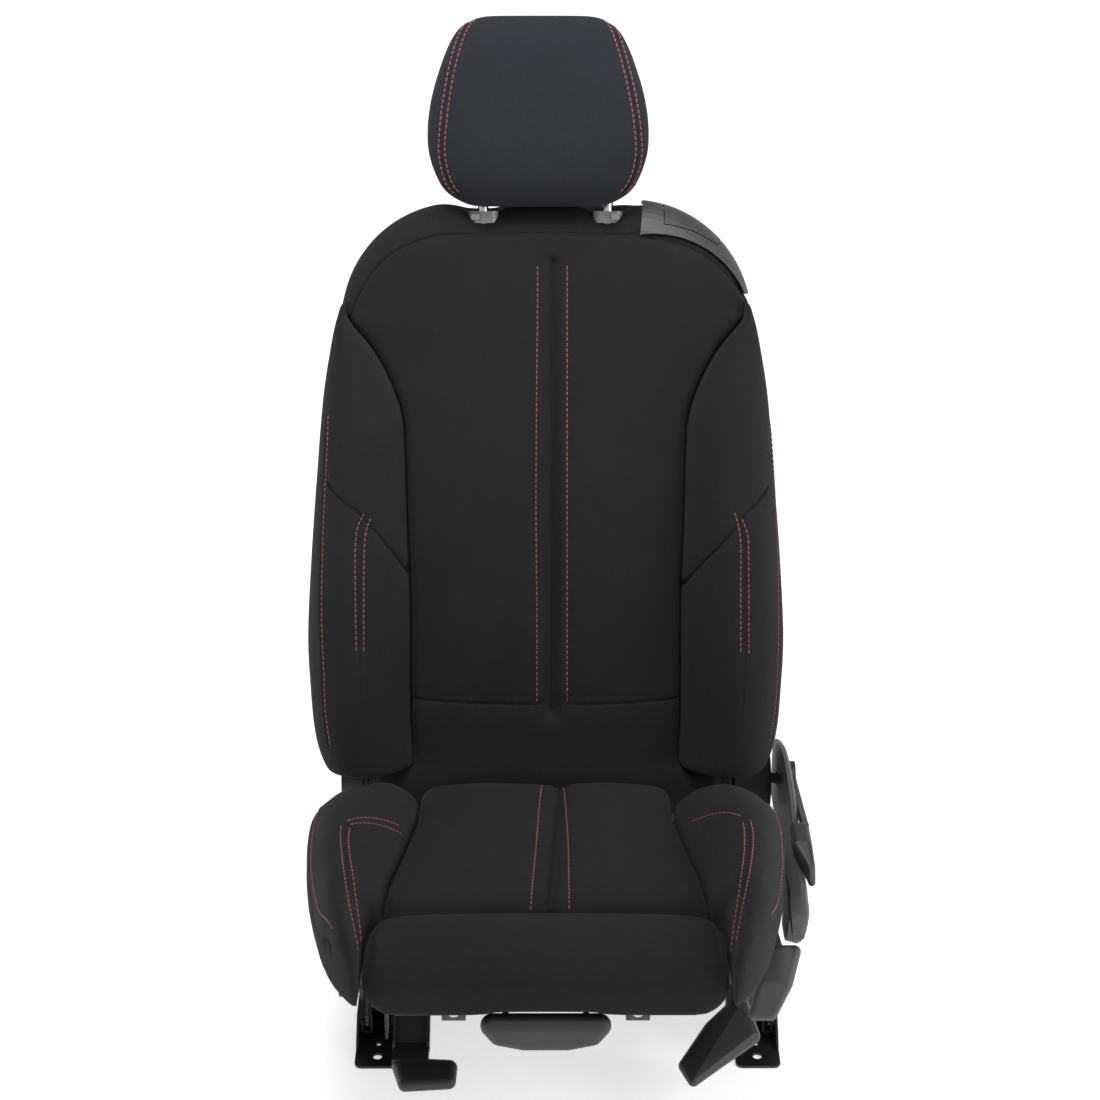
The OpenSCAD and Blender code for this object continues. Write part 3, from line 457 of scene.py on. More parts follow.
def swell(obj, look, pins, cap, shrink):
    """Fills the pad as its foam does: cloth under pressure, held at its seams and sides. It is drawn in by
    shrink and let out by no more than cap, in millimetres."""
    co, no = coords(obj), normals(obj)
    side_on, face_on = 0.2, 0.65
    facing = np.clip((-(no @ np.array(look)) - side_on) / (face_on - side_on), 0, 1)
    free = facing * facing * (3 - 2 * facing)
    if pins:
        d, _ = distances(co, pins, 0.02)
        free *= np.clip(d / PIN_REACH, 0, 1) ** 0.7
    set_coords(obj, co - no * (shrink * MM * free)[:, None])
    start = coords(obj)
    group = obj.vertex_groups.new(name="held")
    for i, f in enumerate(free):
        group.add([i], float(1 - f), "REPLACE")
    m = obj.modifiers.new("cloth", "CLOTH")
    m.settings.use_pressure = True
    m.settings.uniform_pressure_force = 4.0
    m.settings.effector_weights.gravity = 0.0
    m.settings.vertex_group_mass = "held"
    m.settings.quality = 4
    m.collision_settings.use_collision = False
    m.point_cache.frame_start, m.point_cache.frame_end = 1, SWELL_FRAMES
    scene = bpy.context.scene
    for moment in range(1, SWELL_FRAMES + 1):
        scene.frame_set(moment)
    evaluated = obj.evaluated_get(bpy.context.evaluated_depsgraph_get())
    end = np.empty(len(start) * 3, np.float32)
    evaluated.data.vertices.foreach_get("co", end)
    obj.modifiers.clear()
    obj.vertex_groups.clear()
    scene.frame_set(1)
    move = end.reshape(-1, 3) - start
    size = np.linalg.norm(move, axis=1)[:, None].clip(1e-9)
    limit = (cap * MM) * (0.15 + 0.85 * free)[:, None]
    set_coords(obj, start + move / size * limit * np.tanh(size / limit))
    relax(obj, 4)


def refine_near(obj, lines, reach):
    """Cuts the faces near the lines into smaller ones, so that a narrow seam can be pressed in."""
    d, _ = distances(coords(obj), lines, reach * 1.6)
    near = d < reach
    edit = bmesh.new()
    edit.from_mesh(obj.data)
    edit.verts.ensure_lookup_table()
    edges = [e for e in edit.edges if near[e.verts[0].index] and near[e.verts[1].index]]
    bmesh.ops.subdivide_edges(edit, edges=edges, cuts=1, use_grid_fill=True, smooth=0.6)
    edit.to_mesh(obj.data)
    edit.free()


def press(obj, lines, depth, width, shoulder_depth, shoulder, pucker):
    """Presses a seam into the surface: a narrow groove with soft shoulders that pull in here and there.
    Sizes are in millimetres."""
    co, no = coords(obj), normals(obj)
    d, run = distances(co, lines, 0.03)
    d, run = d / MM, run / MM
    sink = depth * np.exp(-(d / (0.5 * width)) ** 2) + shoulder_depth * np.exp(-(d / shoulder) ** 2)
    ripple = (np.sin(run * 2 * math.pi / 9.5 + 1.3 * np.sin(run / 23))
              + 0.5 * np.sin(run * 2 * math.pi / 17 + 2))
    sink += pucker * ripple * np.exp(-((d - 5) / 4.5) ** 2)
    set_coords(obj, co - no * (sink * MM)[:, None])


# One stitch, as places along it from -1 to 1 and the share of the thread's radius at each.
CAPSULE = [(-1.0, 0.25), (-0.86, 0.8), (-0.5, 1.0), (0.0, 1.06), (0.5, 1.0), (0.86, 0.8), (1.0, 0.25)]


def stitches(name, tree, lines, look, body, place):
    """A row of thread stitches, each a short bowed capsule whose ends dive into the cloth."""
    length, gap, radius, sink = 4.8, 1.3, 0.78, 0.12
    sides = 6
    verts, faces = [], []
    for knots in lines:
        row = on_surface(tree, knots, look, 1.5)
        if len(row) < 5:
            continue
        pts = np.array([p for p, _ in row])
        nrm = np.array([n for _, n in row])
        run = length_along(pts) / MM
        at = gap / 2
        while at + length < run[-1]:
            where = [at + length * (0.5 + 0.5 * u) for u, _ in CAPSULE]
            centre = np.stack([np.interp(where, run, pts[:, k]) for k in range(3)], axis=1)
            normal = np.stack([np.interp(where, run, nrm[:, k]) for k in range(3)], axis=1)
            normal /= np.linalg.norm(normal, axis=1)[:, None]
            along = centre[-1] - centre[0]
            size = np.linalg.norm(along)
            at += length + gap
            if size < 1e-6 or size > 1.6 * length * MM:
                continue
            along /= size
            base = len(verts)
            for (u, r), c, n in zip(CAPSULE, centre, normal):
                side = np.cross(along, n)
                side /= np.linalg.norm(side)
                up = np.cross(side, along)
                c = c + n * MM * (radius * 0.55 - sink - 0.75 * radius * u**4)
                for k in range(sides):
                    a = 2 * math.pi * (k + 0.5) / sides
                    verts.append(c + (side * math.cos(a) + up * math.sin(a) * 0.8) * radius * r * MM)
            for j in range(len(CAPSULE) - 1):
                for k in range(sides):
                    a, b = base + j * sides + k, base + j * sides + (k + 1) % sides
                    faces.append([a, b, b + sides, a + sides])
            faces.append([base + k for k in range(sides - 1, -1, -1)])
            faces.append([base + (len(CAPSULE) - 1) * sides + k for k in range(sides)])
    obj = new_object(name, verts, faces)
    dress(obj, THREAD, body, place)


def dress(obj, material, body, place, smooth_angle=None):
    """Gives a new piece its material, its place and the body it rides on."""
    obj.data.materials.clear()
    obj.data.materials.append(material)
    obj.data.polygons.foreach_set("use_smooth", [True] * len(obj.data.polygons))
    if smooth_angle is not None:
        obj.data.set_sharp_from_angle(angle=math.radians(smooth_angle))
    obj.matrix_world = place
    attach(obj, body)


# ---------- outlines shared with the frame ----------

CUSHION_FRONT_Y, CUSHION_FRONT_Z = -215, 302      # where the cushion's centre panel begins
CUSHION_FALL, CUSHION_RUN = 38, 319      # its top falls by that much over that length
CUSHION_BOLSTER, BACK_BOLSTER = 44, 64      # how far the bolsters stand out of the centre panels
SHOULDER_X, SHOULDER_S, SHOULDER_RADIUS = 95, 531, 137.5      # the arc of the backrest's upper corners
BACK_FRONT = -74      # the plane of the backrest's front


def cushion_top(y):
    return CUSHION_FRONT_Z - (y - CUSHION_FRONT_Y) * CUSHION_FALL / CUSHION_RUN


def panel_half(y):
    """Half the width of the cushion's centre panel."""
    return curve([(-330, 184), (-312, 184), (-232, 180), (-212, 170), (-150, 164), (-94, 155), (-35, 147),
                  (5, 142), (90, 140)], y)


def cushion_half(y):
    """Half the width of the whole cushion."""
    return curve([(-328, 186), (-313, 199), (-281, 216), (-248, 227.5), (-213, 236), (-178, 243.5),
                  (-143, 249.5), (-106, 253), (-68, 256), (-29, 255), (11, 243), (34, 236)], y)


def bolster_height(y):
    return CUSHION_BOLSTER * curve([(-328, 0.15), (-300, 0.62), (-240, 0.95), (-160, 1), (-60, 0.95),
                                    (0, 0.7), (38, 0.5)], y)


def back_half(s):
    """Half the width of the whole backrest."""
    arc_from = 559
    if s > arc_from:
        return SHOULDER_X + math.sqrt(max(0, SHOULDER_RADIUS**2 - (s - SHOULDER_S) ** 2))
    return curve([(0, 232), (22, 249), (60, 263), (130, 269.5), (180, 271), (270, 266), (365, 258.5),
                  (455, 250), (523, 238), (arc_from, 229.6)], s)


def seam_half(s):
    """Half the width of the backrest's centre panel, which opens into the shoulders at its top."""
    return curve([(0, 153), (118, 153.5), (220, 153), (311, 156), (379, 157.5), (423, 160), (446, 166),
                  (479, 180), (502, 193.5), (524, 212), (545, 231)], s)


def back_bolster(s):
    return BACK_BOLSTER * curve([(0, 0.8), (100, 1), (250, 1), (380, 0.76), (460, 0.45), (545, 0.06)], s)


def top_dip(x, s):
    """The backrest's top edge is lower between the headrest's posts."""
    return -12 * (1 - smooth((abs(x) - 50) / 55)) * smooth((s - 560) / 108)


def stations(a, b, step):
    """Evenly spaced places from a to b, a step or a little more apart."""
    return list(np.linspace(a, b, max(2, int(abs(b - a) / step) + 1)))


def mirrored(half):
    """The whole outline of a section from its right half, whose last point is on the middle plane."""
    return half + [(-x, v) for x, v in half[-2::-1]]


# ---------- one soft piece ----------


def pad(name, node, rings, look, body, place, material, voxel, cap, shrink, pins, seams, rows=(),
        trim=None):
    """Lofts a pad, fills it, sews its seams in and lays its stitches.
    A line is its knots and the way to look at it. pins: lines held while the pad swells.
    seams: (lines, depth, width, shoulder depth, shoulder, pucker). rows: (name, knots, look) of stitches."""
    obj = loft(name, rings)
    obj = with_modifier(obj, "REMESH", mode="VOXEL", voxel_size=voxel, use_smooth_shade=True)
    relax(obj, 3)
    swell(obj, look, laid(tree_of(obj), pins), cap, shrink)
    if trim:
        set_coords(obj, trim(coords(obj)))
    obj = with_modifier(obj, "SUBSURF", levels=1, render_levels=1)
    tree = tree_of(obj)
    pressed = [laid(tree, lines) for lines, *_ in seams]
    refine_near(obj, [line for lines in pressed for line in lines], 0.007)
    for lines, (_, *sizes) in zip(pressed, seams):
        press(obj, lines, *sizes)
    tree = tree_of(obj)
    for row_name, knots, way in rows:
        stitches(row_name, tree, knots, way, body, place)
    dress(obj, material, body, place)
    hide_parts(node)


# ---------- backrest ----------


def top_front(s):
    """The front, which rounds off backwards near the top edge."""
    over = min(1.0, max(0.0, (s - 618) / 51))
    return BACK_FRONT + 42 * (1 - math.sqrt(1 - over**2))


BOLSTER_FOOT, BOLSTER_TIP = 24, 556
HEEL_HALF = 195.5      # half the width of the centre panel below the bolsters


def centre_front(s):
    """The front of the centre panel: it curls back at the bottom and is a little hollow below the shoulders."""
    curl = 5 * (1 - smooth((s - 20) / 80))
    if s < 14:
        curl += 22 * (1 - math.sqrt(max(0.0, 1 - ((14 - s) / 48) ** 2)))
    return top_front(s) + curl + 2.5 * (1 - smooth(abs(s - 470) / 130))


def back_ring(s):
    """The centre panel between the bolsters, as wide as the shoulders above them and the heel below them."""
    wide = s > 541
    h = back_half(s) if wide else seam_half(s) + 0.3
    if s < BOLSTER_FOOT:
        h = seam_half(s) + (HEEL_HALF - seam_half(s)) * smooth((BOLSTER_FOOT - s) / 3)
    round_w, rd = (42, 36) if wide else (11, 13)
    f = centre_front(s)
    rear = -20 + 36 * smooth((s - 538) / 8)
    if s < 20:
        rear = -43 + 23 * max(0.0, (s + 14) / 34)
    if s > 660:
        rear = 14
    half = [(h - 2, rear), (h, f + rd), (h - 0.1 * round_w, f + 0.55 * rd),
            (h - 0.35 * round_w, f + 0.22 * rd), (h - round_w, f), (0.72 * h, f - 2.5), (0.5 * h, f - 4),
            (0.25 * h, f - 3.5), (0, f - 2.5)]
    return [(x, t, s + top_dip(x, s)) for x, t in ring(mirrored(half))]


CHANNEL_BACK = [(8, 92), (8, 200), (8, 333), (8, 450), (8, 560), (8, 600)]
ROWS_BACK = [[(-10, 102), (-10, 220), (-11, 333), (-10, 446), (-9, 557), (-9, 596)],
             [(24, 102), (24, 220), (24, 333), (24, 446), (24, 557), (24, 596)]]
HEM_BACK = [(-150, 106), (-120, 103), (-40, 100), (8, 100), (60, 100), (120, 103), (150, 106)]
YOKE = [(-226, 532), (-220, 541), (-207, 568), (-190, 593), (-166, 613), (-123, 628), (-60, 632), (5, 633),
        (70, 632), (112, 628), (160, 616), (195, 595), (222, 564), (230, 545)]
SLEEVE_X = 72      # from the middle to each headrest sleeve


def clear_of_trim(co):
    """Keeps the shoulder's cloth just under the plastic trim that caps its outer corner."""
    inner, reach = 97, 40      # the trim's section is part of an ellipse that starts at this radius,
    lip, height = 33, 41      # with its middle this far forward, and is this high
    p = co / MM
    x, t, s = p[:, 0] - SHOULDER_X, p[:, 1], p[:, 2] - SHOULDER_S
    radius, angle = np.hypot(x, s), np.degrees(np.arctan2(s, x))
    crescent = np.hypot(x - 25, s + 15)
    fade = np.clip((angle - 10) / 4, 0, 1)
    limit = 1.0 - np.where(crescent > 113, 0.085, 0.035) * fade
    up = -t - lip
    q = np.where(up > 0, np.hypot((radius - inner) / reach, up / height), (radius - inner) / reach)
    inside = (angle > 10) & (angle < 89) & (radius > inner) & (q > limit) & (t < 17)
    k = np.where(inside, limit / np.maximum(q, 1e-6), 1.0)
    r2 = inner + (radius - inner) * k
    x2, s2 = x * r2 / np.maximum(radius, 1e-6), s * r2 / np.maximum(radius, 1e-6)
    t2 = np.where(up > 0, -(lip + up * k), t)
    out = p.copy()
    out[inside, 0] = (x2 + SHOULDER_X)[inside]
    out[inside, 1] = t2[inside]
    out[inside, 2] = (s2 + SHOULDER_S)[inside]
    # the top edge is drawn down round the two headrest sleeves
    sunk = np.exp(-((np.abs(p[:, 0]) - SLEEVE_X) / 21) ** 2)
    sunk = sunk * np.clip((p[:, 2] - 626) / 20, 0, 1) * np.clip(-p[:, 1] / 30, 0, 1)
    out[:, 2] -= 12.5 * sunk
    return out * MM


BACK_PANEL_EDGE = [[(side * (seam_half(s) - 4), s) for s in stations(16, 500, 40)] for side in (-1, 1)]
pad("backrest_centre_cloth", "backrest_center_pad", [back_ring(s) for s in stations(-28, 666, 4)],
    FRONT, "backrest", BACK, CLOTH, voxel=0.005, cap=5.0, shrink=2.5,
    pins=[(CHANNEL_BACK, FRONT), (HEM_BACK, FRONT), (YOKE, FRONT)] + [(k, FRONT) for k in BACK_PANEL_EDGE],
    seams=[([(CHANNEL_BACK, FRONT)], 9.0, 11.5, 2.5, 17.0, 0.1),
           ([(k, FRONT) for k in ROWS_BACK], 0.9, 2.6, 0.7, 5.0, 0.16),
           ([(HEM_BACK, FRONT)], 2.2, 3.4, 1.6, 8.0, 0.3),
           ([(YOKE, FRONT)], 2.6, 3.4, 1.5, 7.0, 0.25)],
    rows=[("backrest_centre_stitching", ROWS_BACK, FRONT)], trim=clear_of_trim)


def bolster_ring(s, side):
    """One side bolster: shallow at its foot, in front of the recliner, and deeper above it."""
    foot_top, foot_rear = 62, -47
    xi, xo = seam_half(s) - 0.3 - 2.5 * (1 - smooth((s - 40) / 40)), back_half(s)
    f, r = BACK_FRONT, back_bolster(s)
    tip = smooth((s - 526) / 16)
    xi, xo, f = min(xi, xo - 9), xo - 1.4 * tip, f + 1.5 * tip
    w = max(1.0, xo - xi)
    rear = foot_rear + 64 * smooth((s - foot_top) / 4)
    step = foot_rear + 25 * smooth((s - foot_top) / 4)
    inner = min(xi + 4 if s < foot_top else max(xi + 0.1, 201.0), xo - 0.12 * w)
    points = [(xi, step), (xi, f + 16), (xi + 0.05 * w, f + 2 - 0.1 * r), (xi + 0.2 * w, f - 0.52 * r),
              (xi + 0.4 * w, f - 0.9 * r), (xi + 0.6 * w, f - r - 1), (xi + 0.8 * w, f - 0.86 * r),
              (xo - 0.06 * w, f - 0.42 * r), (xo + 0.4, f + 14), (xo + 0.4, f + 44),
              (xo - 1, min(rear - 1, -12)), (xo - 0.08 * w, rear), (inner, rear), (inner, step)]
    return [(side * x, t, s) for x, t in ring(points)]


BOLSTER_LINES = {
    -1: {"panel": [(-247, 362), (-239, 348), (-222, 334), (-203, 320), (-173, 281), (-152, 246)],
         "twin": [[(-201, 323), (-208, 306), (-210.5, 280), (-210.5, 238), (-210, 168)],
                  [(-194, 317), (-199, 302), (-201, 278), (-201.5, 238), (-202, 166)]],
         "seam": [(-198, 320), (-203.5, 304), (-205.5, 279), (-206, 238), (-206, 168), (-205, 110)],
         "edge": [(-245, 430), (-246, 389), (-249, 333), (-252, 219), (-250, 150), (-249, 105), (-244, 59)]},
    1: {"panel": [(250, 350), (240, 338), (222, 322), (196, 290), (172, 262), (154, 236)],
        "twin": [[(209, 324), (214, 304), (215.5, 280), (215.5, 238), (216, 164)],
                 [(217, 317), (223, 299), (224, 278), (224.5, 238), (225, 162)]],
        "seam": [(213, 322), (218, 302), (219.5, 279), (220, 238), (220.5, 164), (219, 108)],
        "edge": [(253, 430), (258, 400), (261, 333), (264, 219), (263, 150), (261, 104), (254, 59)]},
}
for side, word in ((-1, "inboard"), (1, "outboard")):
    lines = BOLSTER_LINES[side]
    pad("backrest_bolster_cloth_" + word, "backrest_bolster_" + word,
        [bolster_ring(s, side) for s in stations(BOLSTER_FOOT, BOLSTER_TIP, 4)],
        FRONT, "backrest", BACK, CLOTH_PLAIN, voxel=0.005, cap=4.0, shrink=2.0,
        pins=[(lines["panel"], FRONT), (lines["edge"], FRONT), (lines["seam"], FRONT)],
        seams=[([(lines["panel"], FRONT)], 2.6, 3.4, 1.8, 8.0, 0.25),
               ([(lines["seam"], FRONT)], 1.5, 2.6, 1.0, 8.0, 0.2),
               ([(k, FRONT) for k in lines["twin"]], 0.6, 2.2, 0.0, 5.0, 0.12),
               ([(lines["edge"], FRONT)], 1.3, 2.6, 0.8, 6.0, 0.2)],
        rows=[("bolster_twin_stitching_" + word, lines["twin"], FRONT),
              ("bolster_edge_stitching_" + word, [[(x - side * 3.2, s) for x, s in lines["edge"]]], FRONT)])

# ---------- headrest ----------

HEAD_HALF = [(660, 70), (666, 86), (678, 104), (700, 116), (721, 122), (743, 123), (765, 121), (787, 116.5),
             (808, 110), (830, 102), (851, 91), (862, 79), (869, 62)]
HEAD_FRONT = [(660, -84), (666, -98), (680, -110), (710, -118), (760, -121), (810, -118), (845, -108),
              (862, -94), (869, -80)]
HEAD_BACK = [(660, -40), (666, -26), (680, -14), (710, -9), (760, -10), (810, -18), (845, -30), (862, -44),
             (869, -58)]
HEAD_X = -8      # the headrest sits a little to one side
HEAD_POINTS = 72


def fuller(v):
    """Bends a sine or cosine, so that an ellipse drawn with it has fuller corners."""
    return math.copysign(abs(v) ** 0.62, v)


def head_ring(s):
    half, front, back = curve(HEAD_HALF, s), curve(HEAD_FRONT, s), curve(HEAD_BACK, s)
    centre, depth = (front + back) / 2, (back - front) / 2
    turns = [2 * math.pi * i / HEAD_POINTS for i in range(HEAD_POINTS)]
    return [(HEAD_X + half * fuller(math.cos(a)), centre + depth * fuller(math.sin(a)), s) for a in turns]


HEAD_SEAMS = {
    -1: [(-78, 867), (-87, 857), (-95, 838), (-103, 808), (-109, 775), (-113, 742), (-114, 715), (-108, 688),
         (-97, 672)],
    1: [(66, 867), (75, 855), (82, 835), (90, 806), (97, 775), (102, 742), (103, 715), (97, 690), (85, 673)],
}
HEAD_TWIN = [[(x + side * k, s) for x, s in HEAD_SEAMS[side]] for side in (-1, 1) for k in (-4.2, 2.8)]
head_lines = [(HEAD_SEAMS[side], way) for side in (-1, 1) for way in (FRONT, -FRONT)]
pad("headrest_cloth", "headrest_pad", [head_ring(s) for s in stations(661, 869, 4)],
    FRONT, "headrest", BACK, CLOTH_HEAD, voxel=0.0042, cap=4.0, shrink=2.0, pins=head_lines,
    seams=[(head_lines, 1.7, 2.6, 1.0, 6.0, 0.18),
           ([(k, FRONT) for k in HEAD_TWIN], 0.5, 2.2, 0.0, 5.0, 0.1)],
    rows=[("headrest_stitching", HEAD_TWIN, FRONT)])

# ---------- cushion ----------


def centre_ring(y):
    """The cushion's centre panel, which rolls down in front. Its underside has three levels."""
    rise = -9 * smooth((y - 70) / 14)
    roll = max(0.0, min(1.0, (-y - 176) / 37))
    rise -= 24 * (1 - math.sqrt(max(0.0, 1 - roll**2)))
    h, t = panel_half(y) + 0.3, cushion_top(y) + rise
    if y > -106:
        low = cushion_top(y) - 62
    else:
        low = 268.5 if y < -143 else 242
    half = [(h, low), (h, t - 20), (h - 3, t - 9), (h - 9, t - 3), (h - 18, t), (0.7 * h, t + 2.6),
            (0.45 * h, t + 3.6), (0.2 * h, t + 2.8), (0, t + 2.2)]
    if t - 20 < low + 2:
        half[1] = (h, (t + low) / 2)
    return [(x, y, max(z, low)) for x, z in ring(mirrored(half))]


CHANNEL_SEAT = [(16, 76), (15, 52), (11, -20), (7, -94), (4, -160), (2, -200), (2, -208)]
ROWS_SEAT = [[(-3, 76), (-5, 59), (-8, -10), (-10, -76), (-13, -150), (-15, -196), (-16, -208)],
             [(20, 76), (21, 46), (23, -30), (24, -99), (24, -160), (24, -196), (24, -208)]]
SEAT_EDGES = [[(side * (panel_half(y) - 4), y) for y in stations(-190, 60, 30)] for side in (-1, 1)]
pad("cushion_centre_cloth", "cushion_center_pad", [centre_ring(y) for y in stations(-213, 84, 4)],
    DOWN, "seat_frame", SEAT, CLOTH, voxel=0.0045, cap=5.0, shrink=2.5,
    pins=[(CHANNEL_SEAT, DOWN)] + [(k, DOWN) for k in SEAT_EDGES],
    seams=[([(CHANNEL_SEAT, DOWN)], 9.0, 11.5, 2.5, 16.0, 0.1),
           ([(k, DOWN) for k in ROWS_SEAT], 0.9, 2.6, 0.7, 5.0, 0.16)],
    rows=[("cushion_centre_stitching", ROWS_SEAT, DOWN)])


CUSHION_REAR = {-1: (210.5, 38), 1: (232, 27)}      # per side: the bolster's half width and end at the rear


def cushion_bolster_ring(y, side):
    """One side bolster of the cushion, which rolls down at its nose."""
    xi, xo = panel_half(y) - 0.3, cushion_half(y)
    xo -= (xo - CUSHION_REAR[side][0]) * smooth((y - 12) / 12)
    t, r = cushion_top(y), bolster_height(y)
    b = cushion_top(y) - 60 + 12 * smooth((y - 12) / 12)
    d = b - 3 - (3 + 28 * smooth((y + 128) / 30)) * (1 - smooth((y - 17) / 7))
    xs, w = max(xi + 3, min(216.0, xo - 8)), xo - xi
    nose = max(0.0, min(1.0, (-y - 300) / 26))
    drop = 26 * (1 - math.sqrt(max(0.0, 1 - nose**2)))
    points = [(xi, b), (xi, t - 16), (xi + 0.03 * w, t + 0.06 * r), (xi + 0.16 * w, t + 0.46 * r),
              (xi + 0.36 * w, t + 0.88 * r), (xi + 0.58 * w, t + r + 1), (xi + 0.8 * w, t + 0.88 * r),
              (xo - 0.04 * w, t + 0.42 * r), (xo + 0.4, t - 8), (xo + 0.4, t - 30), (xo - 1, d + 10),
              (xo - 6, d), (xs, d + 2), (xs, b)]
    return [(side * x, y, z - drop * smooth((z - b) / 60)) for x, z in ring(points)]


CUSHION_LINES = {
    -1: {"twin": [[(-214, -112), (-213, -135), (-209, -170), (-203, -214), (-194, -262), (-184, -300),
                   (-180, -312)],
                  [(-205, -116), (-204.5, -137), (-201, -170), (-194, -214), (-186, -258), (-180, -290)]],
         "seam": [(-208, -106), (-209, -128), (-206, -165), (-199, -212), (-190, -258), (-182, -300)],
         "top": [[(-209, -100), (-196, -86), (-177, -66), (-156, -46)],
                 [(-205, -108), (-190, -92), (-170, -72), (-154, -56)]],
         "edge": [(-247, -20), (-250, -75), (-246, -150), (-238, -205), (-228, -250), (-212, -290)]},
    1: {"twin": [[(207, -104), (206.5, -130), (203, -171), (196, -220), (188, -262), (182, -292)],
                 [(215, -100), (215.5, -130), (211.5, -172), (204.5, -218), (195, -262), (186, -302)]],
        "seam": [(209, -94), (211, -120), (207.5, -170), (200.5, -218), (191.5, -262), (184, -298)],
        "top": [[(158, -40), (172, -52), (190, -68), (206, -88)]],
        "edge": [(244, 0), (250, -40), (253, -75), (250, -130), (245, -175), (236, -222), (226, -258)]},
}
for side, word in ((-1, "inboard"), (1, "outboard")):
    lines = CUSHION_LINES[side]
    pad("cushion_bolster_cloth_" + word, "cushion_bolster_" + word,
        [cushion_bolster_ring(y, side) for y in stations(-326, CUSHION_REAR[side][1], 4)],
        DOWN, "seat_frame", SEAT, CLOTH_PLAIN, voxel=0.0045, cap=4.0, shrink=2.0,
        pins=[(lines["seam"], DOWN), (lines["edge"], DOWN)],
        seams=[([(lines["seam"], DOWN)], 1.7, 2.8, 1.2, 8.0, 0.22),
               ([(k, DOWN) for k in lines["twin"] + lines["top"]], 0.6, 2.2, 0.0, 5.0, 0.12),
               ([(lines["edge"], DOWN)], 1.3, 2.6, 0.8, 6.0, 0.2)],
        rows=[("cushion_twin_stitching_" + word, lines["twin"] + lines["top"], DOWN),
              ("cushion_edge_stitching_" + word, [[(x - side * 3, y) for x, y in lines["edge"]]], DOWN)])

# ---------- thigh support ----------

THIGH_RISE = [(-322, -24), (-316, -12), (-305, -3), (-285, 2), (-255, 4), (-228, 0), (-220, -8)]
NOSE_Y = -306      # in front of this the pad hangs over the tray's edge


def thigh_ring(y):
    """The thigh pad, rounded at its sides and deeper in front of the tray."""
    h, t = panel_half(y) - 1.8, CUSHION_FRONT_Z + curve(THIGH_RISE, y)
    h -= 3 * smooth((-y - 300) / 22) + 7 * smooth((y + 262) / 42)
    under, narrow, round_up, sag = (244.8, 9, 13, 4.3) if y < NOSE_Y else (254.3, 0, 0, 0)
    half = [(52, under), (68, under - sag), (h - 22 - narrow, under - sag), (h - 4 - narrow, under),
            (h, under + 6 + round_up), (h, t - 20), (h - 2, t - 11), (h - 8, t - 4), (h - 18, t - 0.5),
            (0.7 * h, t + 2), (0.35 * h, t + 3.2), (0, t + 3.4)]
    return [(x, y, z) for x, z in ring(mirrored(half))]


THIGH_EDGE = [(-168, -300), (-90, -305), (0, -306), (90, -305), (168, -300)]
pad("thigh_support_cloth", "thigh_pad",
    [thigh_ring(y) for y in stations(-322, -307, 2) + stations(-305.6, -220, 3)],
    DOWN, "thigh_support", SEAT, CLOTH, voxel=0.0042, cap=4.0, shrink=2.5,
    pins=[([(side * 168, -306), (side * 168, -230)], DOWN) for side in (-1, 1)],
    seams=[([(THIGH_EDGE, DOWN)], 0.7, 6.0, 0.0, 6.0, 0.0)])

# The cloth tongue that closes the gap when the thigh support is out: a thin strip with four low waves.
TONGUE_FRONT, TONGUE_REAR, TONGUE_HALF = -219, -152, 158
TONGUE_LOW, TONGUE_HIGH = 260.6, 263


def tongue_ring(y):
    wave = 0.8 * math.sin((y - TONGUE_FRONT) / (TONGUE_REAR - TONGUE_FRONT) * 2 * math.pi * 4)
    corners = [(-TONGUE_HALF, TONGUE_LOW), (TONGUE_HALF, TONGUE_LOW), (TONGUE_HALF, TONGUE_HIGH),
               (-TONGUE_HALF, TONGUE_HIGH)]
    return [(x, y, z + wave) for x, z in ring(corners, 1)]


tongue = loft("thigh_cloth_tongue", [tongue_ring(y) for y in stations(TONGUE_FRONT, TONGUE_REAR, 2.5)])
tongue = with_modifier(tongue, "SUBSURF", levels=1, render_levels=1)
dress(tongue, CLOTH, "thigh_support", SEAT)
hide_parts("thigh_bellows")

# A round cover closes the space between the door-side recliner and the side trim.
COVER = [(217, 38), (217.5, 40), (222, 41), (255, 41), (260, 39.5), (261.5, 36)]      # (x, radius)


def cover_ring(x, radius):
    return [(x, PIVOT_Y + radius * math.cos(a), PIVOT_Z + radius * math.sin(a))
            for a in np.linspace(0, 2 * math.pi, 48, endpoint=False)]


cover = loft("recliner_cover_outboard", [cover_ring(x, radius) for x, radius in COVER])
cover = with_modifier(cover, "SUBSURF", levels=1, render_levels=1)
dress(cover, SHELL, "seat_frame", SEAT, 35)

# ---------- materials on the frame ----------

FINISH = {
    RAIL: ["lower_rail_inboard", "lower_rail_outboard", "upper_rail_inboard", "upper_rail_outboard"],
    FRAME: ["link_brackets", "release_bearings", "release_tube", "front_links", "front_torque_tube",
            "rear_links", "rear_torque_tube", "side_member_inboard", "side_member_outboard", "cushion_pan",
            "rear_cross_tube", "backrest_member_inboard", "backrest_member_outboard", "upper_crossmember",
            "lower_crossmember", "recliner_bases", "recliner_hubs", "recliner_shaft", "suspension_mat",
            "thigh_guide_tubes"],
    BRIGHT: ["latch_strips", "link_pins", "seat_springs", "height_pump", "thigh_rods"],
    CHROME: ["headrest_posts"],
    TRIM: ["side_trim", "height_lever"],
    TRIM_TOP: ["shoulder_trim", "shoulder_lever"],
    SATIN: ["headrest_sleeves", "headrest_button_inboard", "headrest_button_outboard"],
    TRIM_DARK: ["rail_end_caps", "release_paddle", "release_grip", "recline_lever", "recliner_cap",
                "thigh_tray", "lumbar_plate", "airbag_module", "headrest_core"],
    SHELL: ["back_shell", "thigh_handle"],
    GLIDE: ["rail_glides"],
}
